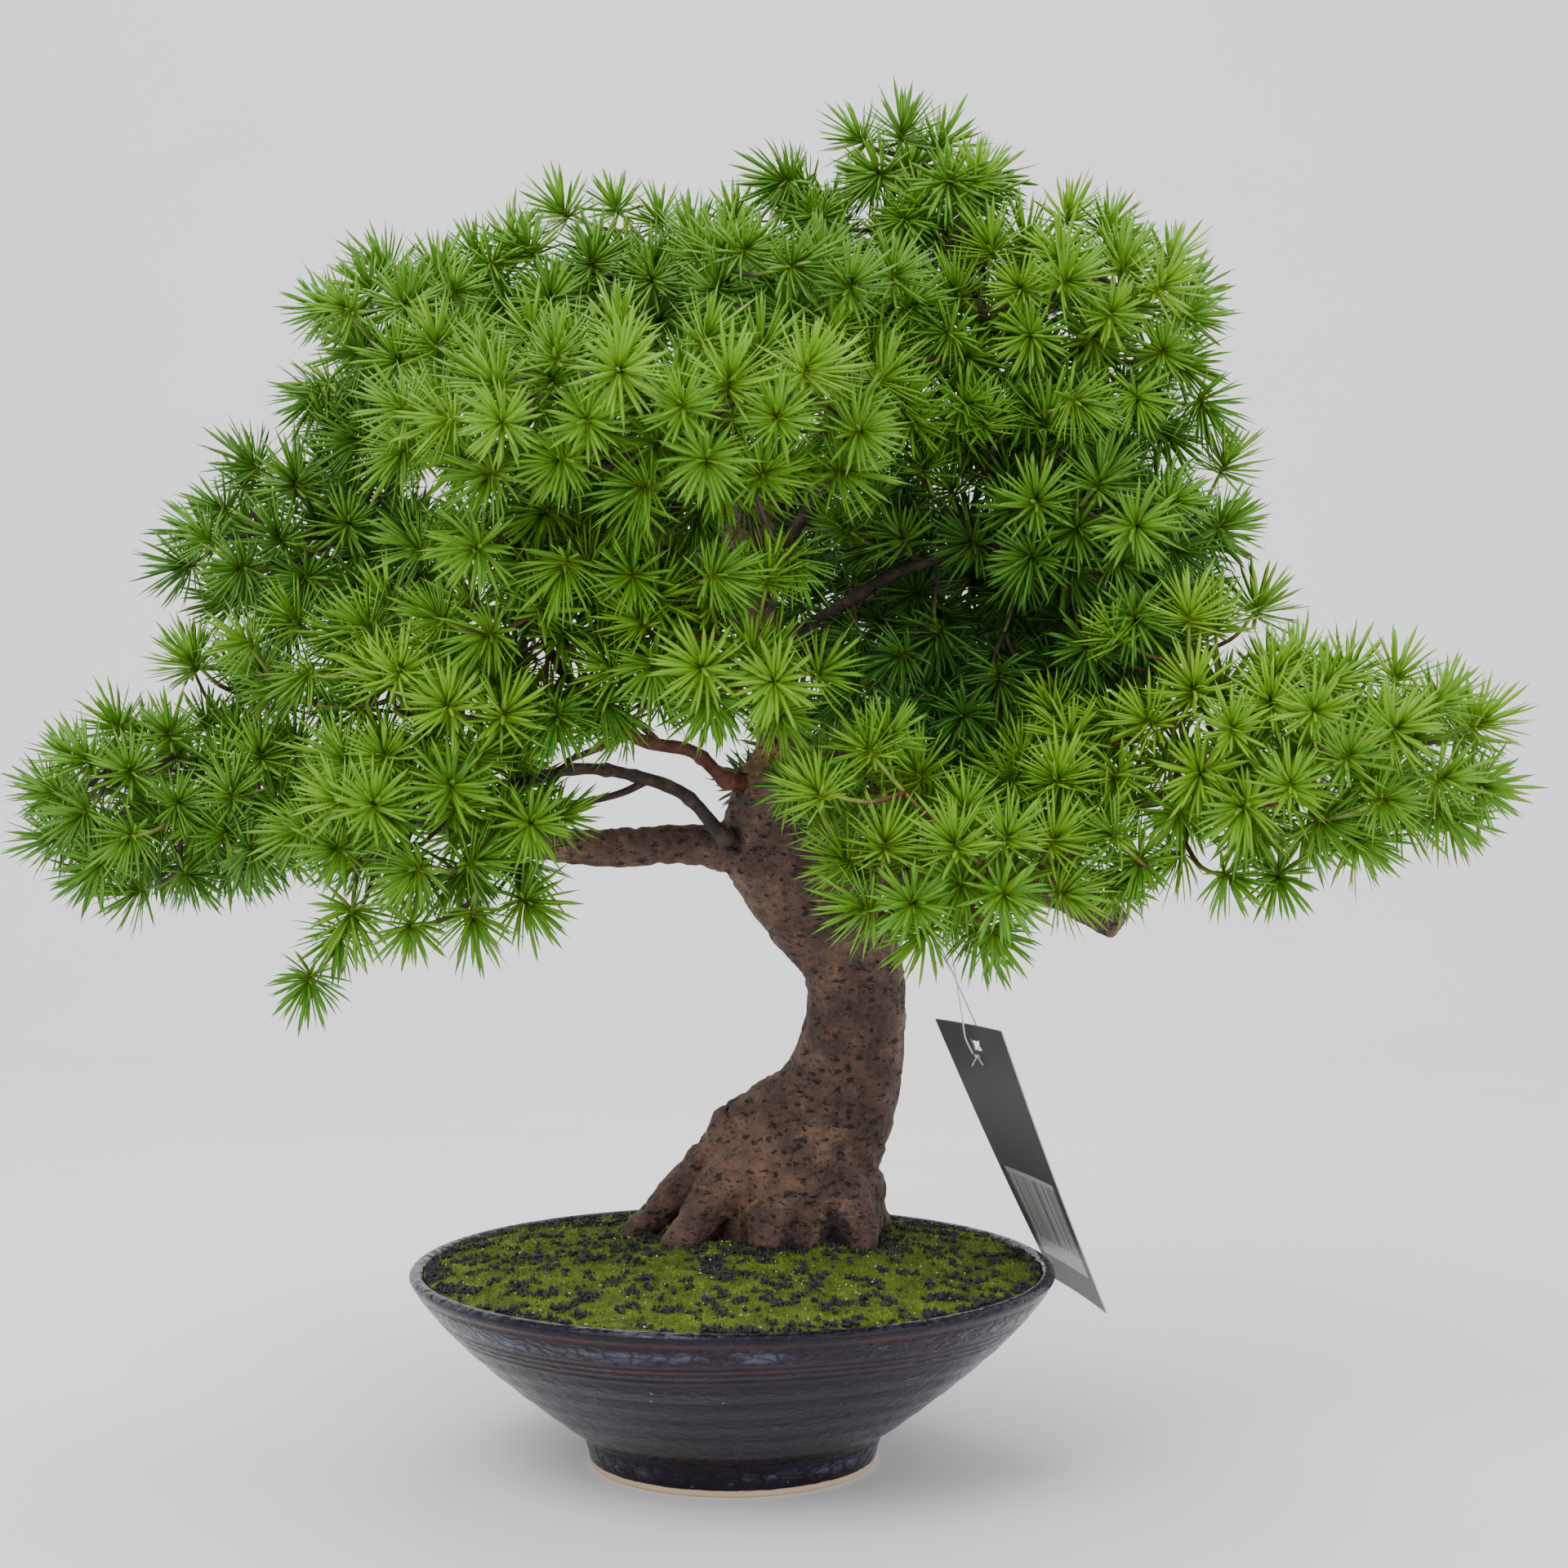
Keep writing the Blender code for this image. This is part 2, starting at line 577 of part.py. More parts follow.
def pad_mesh(branch):
    """A knobbly oval solid, the room that a branch's sprigs take up."""
    mesh = bpy.data.meshes.new(branch.name + "_spray")
    solid = bmesh.new()
    bmesh.ops.create_uvsphere(solid, u_segments=PAD_SIDES, v_segments=PAD_RINGS, radius=1.0)
    for vertex in solid.verts:
        around = round(math.atan2(vertex.co.y, vertex.co.x) / (2.0 * math.pi) * PAD_SIDES)
        down = round(math.acos(max(-1.0, min(1.0, vertex.co.z))) / math.pi * PAD_RINGS)
        if down not in (0, PAD_RINGS) and (around + down) % 2:
            vertex.co *= 1.0 - PAD_NOTCH
        vertex.co = Vector([vertex.co[i] * branch.size[i] for i in range(3)])
        vertex.co += Vector(lifted(branch.centre))
    bmesh.ops.triangulate(solid, faces=solid.faces)
    solid.to_mesh(mesh)
    solid.free()
    return mesh


def build_branch(branch, trunk, barks, leaves, steel):
    path = stem_path(branch)
    stem = add_part(branch.name + "_stem", tube_mesh(branch.name + "_stem", path, 6), barks[branch.bark])
    core = with_radius(start_of(path, WIRE_SHARE), WIRE_RADIUS)
    add_part(branch.name + "_wire", tube_mesh(branch.name + "_wire", core, 6), steel)

    plug_end = path[0].to_3d()
    inward = (plug_end - path[1].to_3d()).normalized()
    bore_path = [Vector((*(plug_end + inward * CUT_OVERRUN), WIRE_RADIUS))] + core[1:-1]
    bore_end = core[-1].to_3d() + (core[-1].to_3d() - core[-2].to_3d()).normalized() * GAP
    bore_path.append(Vector((*bore_end, WIRE_RADIUS)))
    bore = add_tool(branch.name + "_bore", tube_mesh(branch.name + "_bore", bore_path, 6, grow=GAP))
    boolean(stem, bore, "DIFFERENCE")

    mouth, aim = socket_of(branch)
    socket_path = [
        Vector((*(plug_end + inward * SOCKET_END_PLAY), STEM_RADIUS)),
        Vector((*(mouth + aim * 3.0 * PLUG_DEPTH), STEM_RADIUS)),
    ]
    hole = add_tool(branch.name + "_hole",
                    tube_mesh(branch.name + "_hole", socket_path, 8, grow=SOCKET_PLAY))
    boolean(trunk, hole, "DIFFERENCE")

    spray = add_part(branch.name + "_spray", pad_mesh(branch), leaves[branch.leaf])
    tip_end = path[-1].to_3d() + (path[-1].to_3d() - path[-2].to_3d()).normalized() * GAP
    sleeve_path = path[2:] + [Vector((*tip_end, path[-1].w))]
    sleeve = add_tool(branch.name + "_sleeve",
                      tube_mesh(branch.name + "_sleeve", sleeve_path, 6, grow=2.0 * GAP))
    boolean(spray, sleeve, "DIFFERENCE")


def build_branches(trunk):
    barks = {
        "brown": make_material("stem_brown", PLASTIC_BROWN, 0.5),
        "red": make_material("stem_red_brown", PLASTIC_RED_BROWN, 0.5),
    }
    leaves = {
        "bright": make_material("needle_bright", LEAF_GREEN, 0.45),
        "mid": make_material("needle_mid", LEAF_MID, 0.45),
        "dark": make_material("needle_dark", LEAF_DARK, 0.45),
    }
    steel = make_material("wire_steel", (0.40, 0.40, 0.41), 0.45, 1.0)
    for branch in BRANCHES:
        build_branch(branch, trunk, barks, leaves, steel)


# --- retail tag -----------------------------------------------------------------------------
def thread_anchor():
    """The middle of the limb where the loop hangs, and the way the limb runs there."""
    right_limb = next(limb for limb in SIDE_LIMBS if limb.name == "right_limb")
    return point_along(limb_path(right_limb), THREAD_LIMB_SHARE)


def tag_axes():
    across = TAG_ACROSS.normalized()
    down = (TAG_DOWN - across * TAG_DOWN.dot(across)).normalized()
    return across, down, down.cross(across)


def tag_corner():
    """The card's upper left corner, which puts its left edge against the rim."""
    _, down, _ = tag_axes()
    reach = RIM_RADIUS + TAG_OFF_RIM
    turn = math.radians(TAG_LEAN_ANGLE)
    lean = Vector((reach * math.cos(turn), reach * math.sin(turn), BOWL_HEIGHT))
    return lean - down * TAG_LEAN_DOWN


def tag_hole():
    across, down, _ = tag_axes()
    return tag_corner() + across * (TAG_WIDTH / 2.0) + down * TAG_HOLE_INSET


def knot_centre():
    """The knot sits on the tag's front, just below the hole."""
    _, down, face = tag_axes()
    off_card = TAG_THICKNESS / 2.0 + KNOT_RADIUS + GAP
    return tag_hole() + face * off_card + down * 0.0032


def thread_path():
    """From the knot up the front, over the limb and down behind it, through the hole to the knot."""
    centre, along = thread_anchor()
    _, down, face = tag_axes()
    hole = tag_hole()
    knot = knot_centre()
    front = along.cross(Vector((0.0, 0.0, 1.0))).normalized()
    up = front.cross(along)
    stand_off = centre.w + THREAD_SLACK + THREAD_RADIUS
    clear = KNOT_RADIUS + THREAD_RADIUS + GAP
    over_limb = []
    for turn in (0.0, 45.0, 90.0, 135.0, 180.0):
        angle = math.radians(turn)
        shift = along * (THREAD_SPREAD * math.cos(angle))
        over_limb.append(centre.to_3d() + shift + front * (stand_off * math.cos(angle))
                         + up * (stand_off * math.sin(angle)))
    off_knot = (face * 0.6 - down * 0.8) * clear
    rise = hole + face * 0.0032 - down * 0.0050
    back = hole - face * 0.0026 - down * 0.0050
    bend = hole - face * 0.0022 - down * 0.0012
    end = knot + (hole - knot).normalized() * clear
    route = [knot + off_knot, rise]
    route += [rise.lerp(over_limb[0], share) for share in (0.12, 0.35, 0.65, 0.88)]
    route += over_limb
    route += [over_limb[-1].lerp(back, share) for share in (0.12, 0.35, 0.65, 0.88)]
    route += [back, bend, end]
    return smooth_path([(*point, THREAD_RADIUS) for point in route], 3)


def build_tag():
    card = make_material("tag_card", (0.035, 0.035, 0.040), 0.5)
    nylon = make_material("tag_nylon", (0.80, 0.82, 0.82), 0.25)
    across, down, face = tag_axes()
    hole = tag_hole()
    middle = tag_corner() + across * (TAG_WIDTH / 2.0) + down * (TAG_LENGTH / 2.0)
    mesh = bpy.data.meshes.new("swing_tag")
    solid = bmesh.new()
    bmesh.ops.create_cube(solid, size=1.0)
    for vertex in solid.verts:
        x, y, z = vertex.co
        vertex.co = (middle + across * (x * TAG_WIDTH) + down * (y * TAG_LENGTH)
                     + face * (z * TAG_THICKNESS))
    bmesh.ops.recalc_face_normals(solid, faces=solid.faces)
    solid.to_mesh(mesh)
    solid.free()
    tag = add_part("swing_tag", mesh, card)
    reach = face * (TAG_THICKNESS / 2.0 + CUT_OVERRUN)
    punch_path = [Vector((*(hole - reach), TAG_HOLE_RADIUS)), Vector((*(hole + reach), TAG_HOLE_RADIUS))]
    punch = add_tool("tag_punch", tube_mesh("tag_punch", punch_path, 14))
    boolean(tag, punch, "DIFFERENCE")
    add_part("tag_thread", tube_mesh("tag_thread", thread_path(), 8), nylon)
    knot_mesh = bpy.data.meshes.new("tag_knot")
    solid = bmesh.new()
    bmesh.ops.create_icosphere(solid, subdivisions=2, radius=KNOT_RADIUS)
    bmesh.ops.translate(solid, verts=solid.verts, vec=knot_centre())
    solid.to_mesh(knot_mesh)
    solid.free()
    add_part("tag_knot", knot_mesh, nylon)


def build_tree():
    build_bowl()
    fillings = build_filling()
    trunk = build_trunk(fillings)
    build_core_rod(trunk, fillings)
    build_branches(trunk)
    build_tag()


for old in list(bpy.data.objects):
    bpy.data.objects.remove(old, do_unlink=True)
TREE = bpy.data.collections.new("tabletop_tree")
CUTTERS = bpy.data.collections.new("cutters")
for group in (TREE, CUTTERS):
    bpy.context.scene.collection.children.link(group)
build_tree()
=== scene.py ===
"""Looks for an artificial tabletop tree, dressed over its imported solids.

Metres, +Z up. The origin is the middle of the bowl's foot and -Y is the front of the tree.
"""

import json
import logging
import math
from dataclasses import dataclass, field
from enum import Enum
from typing import NamedTuple

import bmesh
import bpy
import numpy as np
from mathutils import Matrix, Vector, noise
from mathutils.bvhtree import BVHTree


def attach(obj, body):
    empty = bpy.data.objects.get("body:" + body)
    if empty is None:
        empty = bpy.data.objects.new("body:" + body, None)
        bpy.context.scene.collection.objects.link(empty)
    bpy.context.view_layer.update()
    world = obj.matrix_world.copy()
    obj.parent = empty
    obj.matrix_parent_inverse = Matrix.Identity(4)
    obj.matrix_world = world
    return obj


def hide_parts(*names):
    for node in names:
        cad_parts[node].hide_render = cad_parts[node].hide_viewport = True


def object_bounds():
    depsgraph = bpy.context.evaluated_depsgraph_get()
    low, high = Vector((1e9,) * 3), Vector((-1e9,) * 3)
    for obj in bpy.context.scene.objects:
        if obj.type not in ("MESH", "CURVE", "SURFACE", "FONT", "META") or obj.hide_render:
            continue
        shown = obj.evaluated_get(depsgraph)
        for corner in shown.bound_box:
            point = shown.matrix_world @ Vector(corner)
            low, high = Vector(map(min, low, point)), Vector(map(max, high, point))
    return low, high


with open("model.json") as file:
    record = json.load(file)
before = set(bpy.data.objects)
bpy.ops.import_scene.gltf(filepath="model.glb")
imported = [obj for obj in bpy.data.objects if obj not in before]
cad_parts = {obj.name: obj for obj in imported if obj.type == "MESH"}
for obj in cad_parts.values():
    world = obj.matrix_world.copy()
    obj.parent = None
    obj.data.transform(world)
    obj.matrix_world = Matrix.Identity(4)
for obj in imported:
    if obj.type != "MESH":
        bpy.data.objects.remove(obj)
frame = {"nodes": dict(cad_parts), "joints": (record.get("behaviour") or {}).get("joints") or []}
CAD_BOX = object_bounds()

LOG = logging.getLogger("tabletop_tree")

Colour = tuple[float, float, float]
Point = tuple[float, float, float]
Node = bpy.types.Node
Socket = bpy.types.NodeSocket
NodeTree = bpy.types.NodeTree
Material = bpy.types.Material
Piece = bpy.types.Object
Feed = float | tuple | Socket
MILLIMETRE = 0.001
GOLDEN_TURN = 2.39996


# ---------------------------------------------------------------- shader benches and groups
class Bench:
    """Sets out and joins shader nodes in one node tree.

    Args:
        tree: The material's or group's node tree.
    """

    def __init__(self, tree: NodeTree) -> None:
        """Starts on an existing tree."""
        self.tree = tree
        self.placed = 0

    def put(self, kind: str, feeds: dict[str | int, Feed] | None = None, **settings: object) -> Node:
        """Adds one node, sets its options, and feeds its inputs.

        Args:
            kind: The node's type name.
            feeds: What goes into each input: a number, a colour, a vector or another node's output.
            **settings: The node's own options.

        Returns:
            The new node.
        """
        node = self.tree.nodes.new(kind)
        node.location = (220 * (self.placed % 8), -260 * (self.placed // 8))
        self.placed += 1
        for name, value in settings.items():
            setattr(node, name, value)
        for place, feed in (feeds or {}).items():
            self.feed(node.inputs[place], feed)
        return node

    def feed(self, socket: Socket, feed: Feed) -> None:
        """Joins an output to an input, or sets the input's own value.

        Args:
            socket: The input.
            feed: The output, or the value.
        """
        if isinstance(feed, Socket):
            self.tree.links.new(feed, socket)
        elif isinstance(feed, tuple) and socket.type == "RGBA":
            socket.default_value = (*feed, 1.0)
        else:
            socket.default_value = feed

    def sum(self, operation: str, first: Feed, second: Feed, clamp: bool = False) -> Socket:
        """One step of arithmetic on two numbers."""
        return self.put("ShaderNodeMath", {0: first, 1: second}, operation=operation, use_clamp=clamp).outputs[0]

    def plus(self, first: Feed, second: Feed, clamp: bool = False) -> Socket:
        """Two numbers added."""
        return self.sum("ADD", first, second, clamp)

    def minus(self, first: Feed, second: Feed) -> Socket:
        """The second number taken from the first."""
        return self.sum("SUBTRACT", first, second)

    def times(self, first: Feed, second: Feed) -> Socket:
        """Two numbers multiplied."""
        return self.sum("MULTIPLY", first, second)

    def over(self, first: Feed, second: Feed) -> Socket:
        """The first number divided by the second."""
        return self.sum("DIVIDE", first, second)

    def below(self, value: Feed, limit: Feed) -> Socket:
        """1 where the value is under the limit, else 0."""
        return self.sum("LESS_THAN", value, limit)

    def blend(self, share: Feed, first: Feed, second: Feed) -> Socket:
        """Mixes two colours.

        Args:
            share: How much of the second shows, from 0 to 1.
            first: The first colour.
            second: The second colour.

        Returns:
            The mixed colour.
        """
        node = self.put("ShaderNodeMix", {"Factor": share}, data_type="RGBA")
        self.feed(node.inputs[6], first)
        self.feed(node.inputs[7], second)
        return node.outputs[2]

    def ramp(self, value: Feed, low: Feed, high: Feed, to_low: Feed = 0.0, to_high: Feed = 1.0) -> Socket:
        """Spreads the values between two levels over another span, smoothly."""
        feeds = {"Value": value, "From Min": low, "From Max": high, "To Min": to_low, "To Max": to_high}
        return self.put("ShaderNodeMapRange", feeds, interpolation_type="SMOOTHSTEP").outputs[0]

    def place_of(self, stretch: Point = (1.0, 1.0, 1.0)) -> Socket:
        """The piece's own coordinates in metres.

        Args:
            stretch: How much the coordinates are stretched along each axis.

        Returns:
            The coordinates.
        """
        own = self.put("ShaderNodeTexCoord").outputs["Object"]
        if stretch == (1.0, 1.0, 1.0):
            return own
        return self.put("ShaderNodeVectorMath", {0: own, 1: stretch}, operation="MULTIPLY").outputs[0]

    def painted(self, name: str) -> Socket:
        """A value painted on the mesh's points."""
        return self.put("ShaderNodeAttribute", attribute_name=name).outputs["Fac"]

    def group(self, shared: "SharedGroup", feeds: dict[str, Feed]) -> Node:
        """Places a shared group in this tree.

        Args:
            shared: The group.
            feeds: What goes into each of its inputs.

        Returns:
            The group's node.
        """
        node = self.put("ShaderNodeGroup", node_tree=shared.tree())
        for name, feed in feeds.items():
            self.feed(node.inputs[name], feed)
        return node

    def mottle(self, place: Feed, scale: float, contrast: float) -> dict[str, Socket]:
        """Soft clouds over the surface, as a Mask and a Height."""
        node = self.group(SharedGroup.MOTTLE, {"Coordinate": place, "Scale": scale, "Contrast": contrast})
        return {output.name: output for output in node.outputs}

    def pits(self, place: Feed, scale: float, size: float, share: float) -> Socket:
        """Scattered pits, as a mask that is 1 in a pit."""
        feeds = {"Coordinate": place, "Scale": scale, "Size": size, "Share": share}
        return self.group(SharedGroup.PITS, feeds).outputs[0]

    def three_tones(self, mask: Feed, low: Colour, middle: Colour, high: Colour) -> Socket:
        """Three colours along a mask from 0 to 1."""
        feeds = {"Mask": mask, "Low": low, "Middle": middle, "High": high}
        return self.group(SharedGroup.THREE_TONES, feeds).outputs[0]


class SharedGroup(Enum):
    """The effects that more than one finish uses, each a node group."""

    MOTTLE = "Mottle"
    PITS = "Pits"
    WRINKLES = "Wrinkles"
    PATCH = "Patch"
    HOLLOWS = "Hollows"
    THREE_TONES = "Three tones"

    def tree(self) -> NodeTree:
        """The group's node tree, built the first time that it is asked for."""
        known = bpy.data.node_groups.get(self.value)
        return known if known else GROUP_MAKERS[self](self.value)


def new_group(name: str, takes: dict[str, str],
              gives: dict[str, str]) -> tuple[Bench, dict[str, Socket], Node]:
    """Starts a node group with named sockets.

    Args:
        name: The group's name.
        takes: The kind of each input, under its name.
        gives: The kind of each output, under its name.

    Returns:
        A bench on the group's tree, its inputs by name, and its output node.
    """
    tree = bpy.data.node_groups.new(name, "ShaderNodeTree")
    for side, sockets in (("INPUT", takes), ("OUTPUT", gives)):
        for label, kind in sockets.items():
            tree.interface.new_socket(name=label, in_out=side, socket_type="NodeSocket" + kind)
    bench = Bench(tree)
    inputs = bench.put("NodeGroupInput").outputs
    return bench, {label: inputs[label] for label in takes}, bench.put("NodeGroupOutput")


def make_mottle(name: str) -> NodeTree:
    """Soft uneven clouds, as in paint, cement and bark.

    Args:
        name: The group's name.

    Returns:
        The group, which gives a mask from 0 to 1 and a height.
    """
    takes = {"Coordinate": "Vector", "Scale": "Float", "Contrast": "Float"}
    bench, into, out = new_group(name, takes, {"Mask": "Float", "Height": "Float"})
    cloud = bench.put("ShaderNodeTexNoise", {"Vector": into["Coordinate"], "Scale": into["Scale"],
                                             "Detail": 5.0, "Roughness": 0.62}).outputs[0]
    half = bench.over(0.25, into["Contrast"])
    mask = bench.ramp(cloud, bench.minus(0.5, half), bench.plus(0.5, half))
    bench.feed(out.inputs["Mask"], mask)
    bench.feed(out.inputs["Height"], cloud)
    return bench.tree


def make_pits(name: str) -> NodeTree:
    """Small scattered pits, with some of the cells left plain.

    Args:
        name: The group's name.

    Returns:
        The group, which gives a mask that is 1 in a pit.
    """
    takes = {"Coordinate": "Vector", "Scale": "Float", "Size": "Float", "Share": "Float"}
    bench, into, out = new_group(name, takes, {"Mask": "Float"})
    waver = bench.put("ShaderNodeTexNoise", {"Vector": into["Coordinate"], "Detail": 3.0,
                                             "Scale": bench.times(into["Scale"], 1.6)})
    shift = bench.put("ShaderNodeVectorMath", {0: waver.outputs["Color"],
                                               "Scale": bench.over(1.5, into["Scale"])},
                      operation="SCALE").outputs[0]
    moved = bench.put("ShaderNodeVectorMath", {0: into["Coordinate"], 1: shift}, operation="ADD").outputs[0]
    cells = bench.put("ShaderNodeTexVoronoi", {"Vector": moved, "Scale": into["Scale"]})
    chance = bench.put("ShaderNodeSeparateColor", {0: cells.outputs["Color"]}).outputs
    size = bench.times(into["Size"], bench.ramp(chance[1], 0.0, 1.0, 0.4, 1.25))
    inside = bench.ramp(cells.outputs["Distance"], size, bench.times(size, 0.35))
    chosen = bench.below(chance[0], into["Share"])
    bench.feed(out.inputs["Mask"], bench.times(inside, chosen))
    return bench.tree


def make_wrinkles(name: str) -> NodeTree:
    """A net of fine creases, as in a glaze that has crawled.

    Args:
        name: The group's name.

    Returns:
        The group, which gives a mask that is 1 in a crease and a height.
    """
    takes = {"Coordinate": "Vector", "Scale": "Float", "Width": "Float"}
    bench, into, out = new_group(name, takes, {"Mask": "Float", "Height": "Float"})
    waver = bench.put("ShaderNodeTexNoise", {"Vector": into["Coordinate"], "Scale": 130.0, "Detail": 3.0})
    shift = bench.put("ShaderNodeVectorMath", {0: waver.outputs["Color"], 1: (0.006, 0.006, 0.006)},
                      operation="MULTIPLY").outputs[0]
    moved = bench.put("ShaderNodeVectorMath", {0: into["Coordinate"], 1: shift}, operation="ADD").outputs[0]
    edge = bench.put("ShaderNodeTexVoronoi", {"Vector": moved, "Scale": into["Scale"]},
                     feature="DISTANCE_TO_EDGE").outputs[0]
    bench.feed(out.inputs["Mask"], bench.ramp(edge, into["Width"], 0.0))
    bench.feed(out.inputs["Height"], bench.ramp(edge, 0.0, bench.times(into["Width"], 2.5)))
    return bench.tree


def make_patch(name: str) -> NodeTree:
    """A ragged spot round one place, such as a cut end, a dab of glue, a painted pool of light or a painted
    shadow.

    Args:
        name: The group's name.

    Returns:
        The group, which gives a mask that is 1 in the spot.
    """
    takes = {"Coordinate": "Vector", "Centre": "Vector", "Reach": "Float"}
    bench, into, out = new_group(name, takes, {"Mask": "Float"})
    away = bench.put("ShaderNodeVectorMath", {0: into["Coordinate"], 1: into["Centre"]},
                     operation="DISTANCE").outputs["Value"]
    ragged = bench.put("ShaderNodeTexNoise", {"Vector": into["Coordinate"], "Scale": 420.0,
                                              "Detail": 3.0}).outputs[0]
    share = bench.plus(bench.over(away, into["Reach"]), bench.times(ragged, 0.9))
    bench.feed(out.inputs["Mask"], bench.ramp(share, 1.45, 1.2))
    return bench.tree


def make_hollows(name: str) -> NodeTree:
    """Where the surface is hollow, and where it stands out and wears.

    Args:
        name: The group's name.

    Returns:
        The group, which gives a mask for hollows and one for worn edges.
    """
    bench, into, out = new_group(name, {"Spread": "Float"}, {"Hollow": "Float", "Worn": "Float"})
    bent = bench.put("ShaderNodeNewGeometry").outputs["Pointiness"]
    bench.feed(out.inputs["Hollow"], bench.ramp(bent, 0.5, bench.minus(0.5, into["Spread"])))
    bench.feed(out.inputs["Worn"], bench.ramp(bent, 0.5, bench.plus(0.5, into["Spread"])))
    return bench.tree


def make_three_tones(name: str) -> NodeTree:
    """Three colours along a mask.

    Args:
        name: The group's name.

    Returns:
        The group, which gives the low colour at 0, the middle one at half and the high one at 1.
    """
    takes = {"Mask": "Float", "Low": "Color", "Middle": "Color", "High": "Color"}
    bench, into, out = new_group(name, takes, {"Colour": "Color"})
    lower = bench.blend(bench.ramp(into["Mask"], 0.0, 0.5), into["Low"], into["Middle"])
    bench.feed(out.inputs["Colour"], bench.blend(bench.ramp(into["Mask"], 0.5, 1.0), lower, into["High"]))
    return bench.tree


GROUP_MAKERS = {
    SharedGroup.MOTTLE: make_mottle,
    SharedGroup.PITS: make_pits,
    SharedGroup.WRINKLES: make_wrinkles,
    SharedGroup.PATCH: make_patch,
    SharedGroup.HOLLOWS: make_hollows,
    SharedGroup.THREE_TONES: make_three_tones,
}


class Coating(Bench):
    """A bench on a new material, with its main shader.

    Args:
        name: The material's name.
        roughness: The shader's own roughness, until something feeds it.
        **constants: Other values of the shader, with _ for a space.
    """

    def __init__(self, name: str, roughness: float, **constants: float) -> None:
        """Makes the material."""
        self.material = bpy.data.materials.new(name)
        self.material.use_nodes = True
        super().__init__(self.material.node_tree)
        self.shader = self.tree.nodes["Principled BSDF"]
        self.shader.inputs["Roughness"].default_value = roughness
        for label, value in constants.items():
            self.shader.inputs[label.replace("_", " ")].default_value = value

    def cover(self, colour: Feed, roughness: Feed, height: Feed, depth: float, strength: float) -> Material:
        """Feeds the shader its colour, its roughness and its relief.

        Args:
            colour: The base colour over the surface.
            roughness: The roughness over the surface.
            height: The height that the relief is taken from.
            depth: How deep the relief is, in metres.
            strength: How much of the relief shows.

        Returns:
            The finished material.
        """
        feeds = {"Strength": strength, "Distance": depth, "Height": height}
        self.feed(self.shader.inputs["Base Color"], colour)
        self.feed(self.shader.inputs["Roughness"], roughness)
        self.feed(self.shader.inputs["Normal"], self.put("ShaderNodeBump", feeds).outputs[0])
        return self.material


# ---------------------------------------------------------------- finishes
@dataclass(frozen=True)
class Spot:
    """A place on the bark with a colour of its own; some spots are painted light and some painted shadow."""

    centre: Point
    reach: float
    colour: Colour


@dataclass(frozen=True)
class BarkFinish:
    """Moulded and painted bark, on the trunk and on the stems, with painted shade darkening its pits and
    hollows.
    """

    name: str
    dark: Colour
    middle: Colour
    light: Colour
    # The colour of the painted shade in the pits, specks and hollows.
    pit_shade: Colour
    scale: float = 1.0
    pit_share: float = 0.55
    relief: float = 0.0009
    roughness: float = 0.72
    dusk: Colour = (0.046, 0.040, 0.042)
    dusk_share: float = 0.40
    spots: tuple[Spot, ...] = ()

    def make(self) -> Material:
        """Paints the bark.

        Returns:
            The material, ready for a piece.
        """
        bench = Coating(self.name, self.roughness, Specular_IOR_Level=0.32)
        place = bench.place_of()
        flat = bench.place_of((1.0, 1.0, 1.7))
        broad = bench.mottle(place, 75.0 * self.scale, 1.6)
        fine = bench.mottle(place, 420.0 * self.scale, 1.5)
        dusk = bench.mottle(flat, 120.0 * self.scale, 2.0)
        pits = bench.pits(flat, 255.0 * self.scale, 0.40, self.pit_share)
        specks = bench.pits(flat, 560.0 * self.scale, 0.38, 0.45)
        hollows = bench.group(SharedGroup.HOLLOWS, {"Spread": 0.10})
        tone = bench.plus(bench.times(broad["Mask"], 0.62), bench.times(fine["Mask"], 0.38))
        colour = bench.three_tones(tone, self.dark, self.middle, self.light)
        for spot in self.spots:
            mask = bench.group(SharedGroup.PATCH, {"Coordinate": place, "Centre": spot.centre,
                                                   "Reach": spot.reach}).outputs[0]
            colour = bench.blend(mask, colour, spot.colour)
        colour = bench.blend(bench.times(dusk["Mask"], self.dusk_share), colour, self.dusk)
        # Painted shade: the hollows, found by pointiness, and the pits and specks are darkened toward the pit
        # shade colour.
        for mask, share in ((hollows.outputs["Hollow"], 0.75), (specks, 0.35), (pits, 0.75)):
            colour = bench.blend(bench.times(mask, share), colour, self.pit_shade)
        rough = bench.ramp(fine["Mask"], 0.0, 1.0, self.roughness - 0.14, self.roughness + 0.12)
        height = bench.minus(bench.times(fine["Height"], 0.8), bench.times(pits, 0.7))
        height = bench.minus(height, bench.times(specks, 0.4))
        return bench.cover(colour, rough, height, self.relief, 0.9)


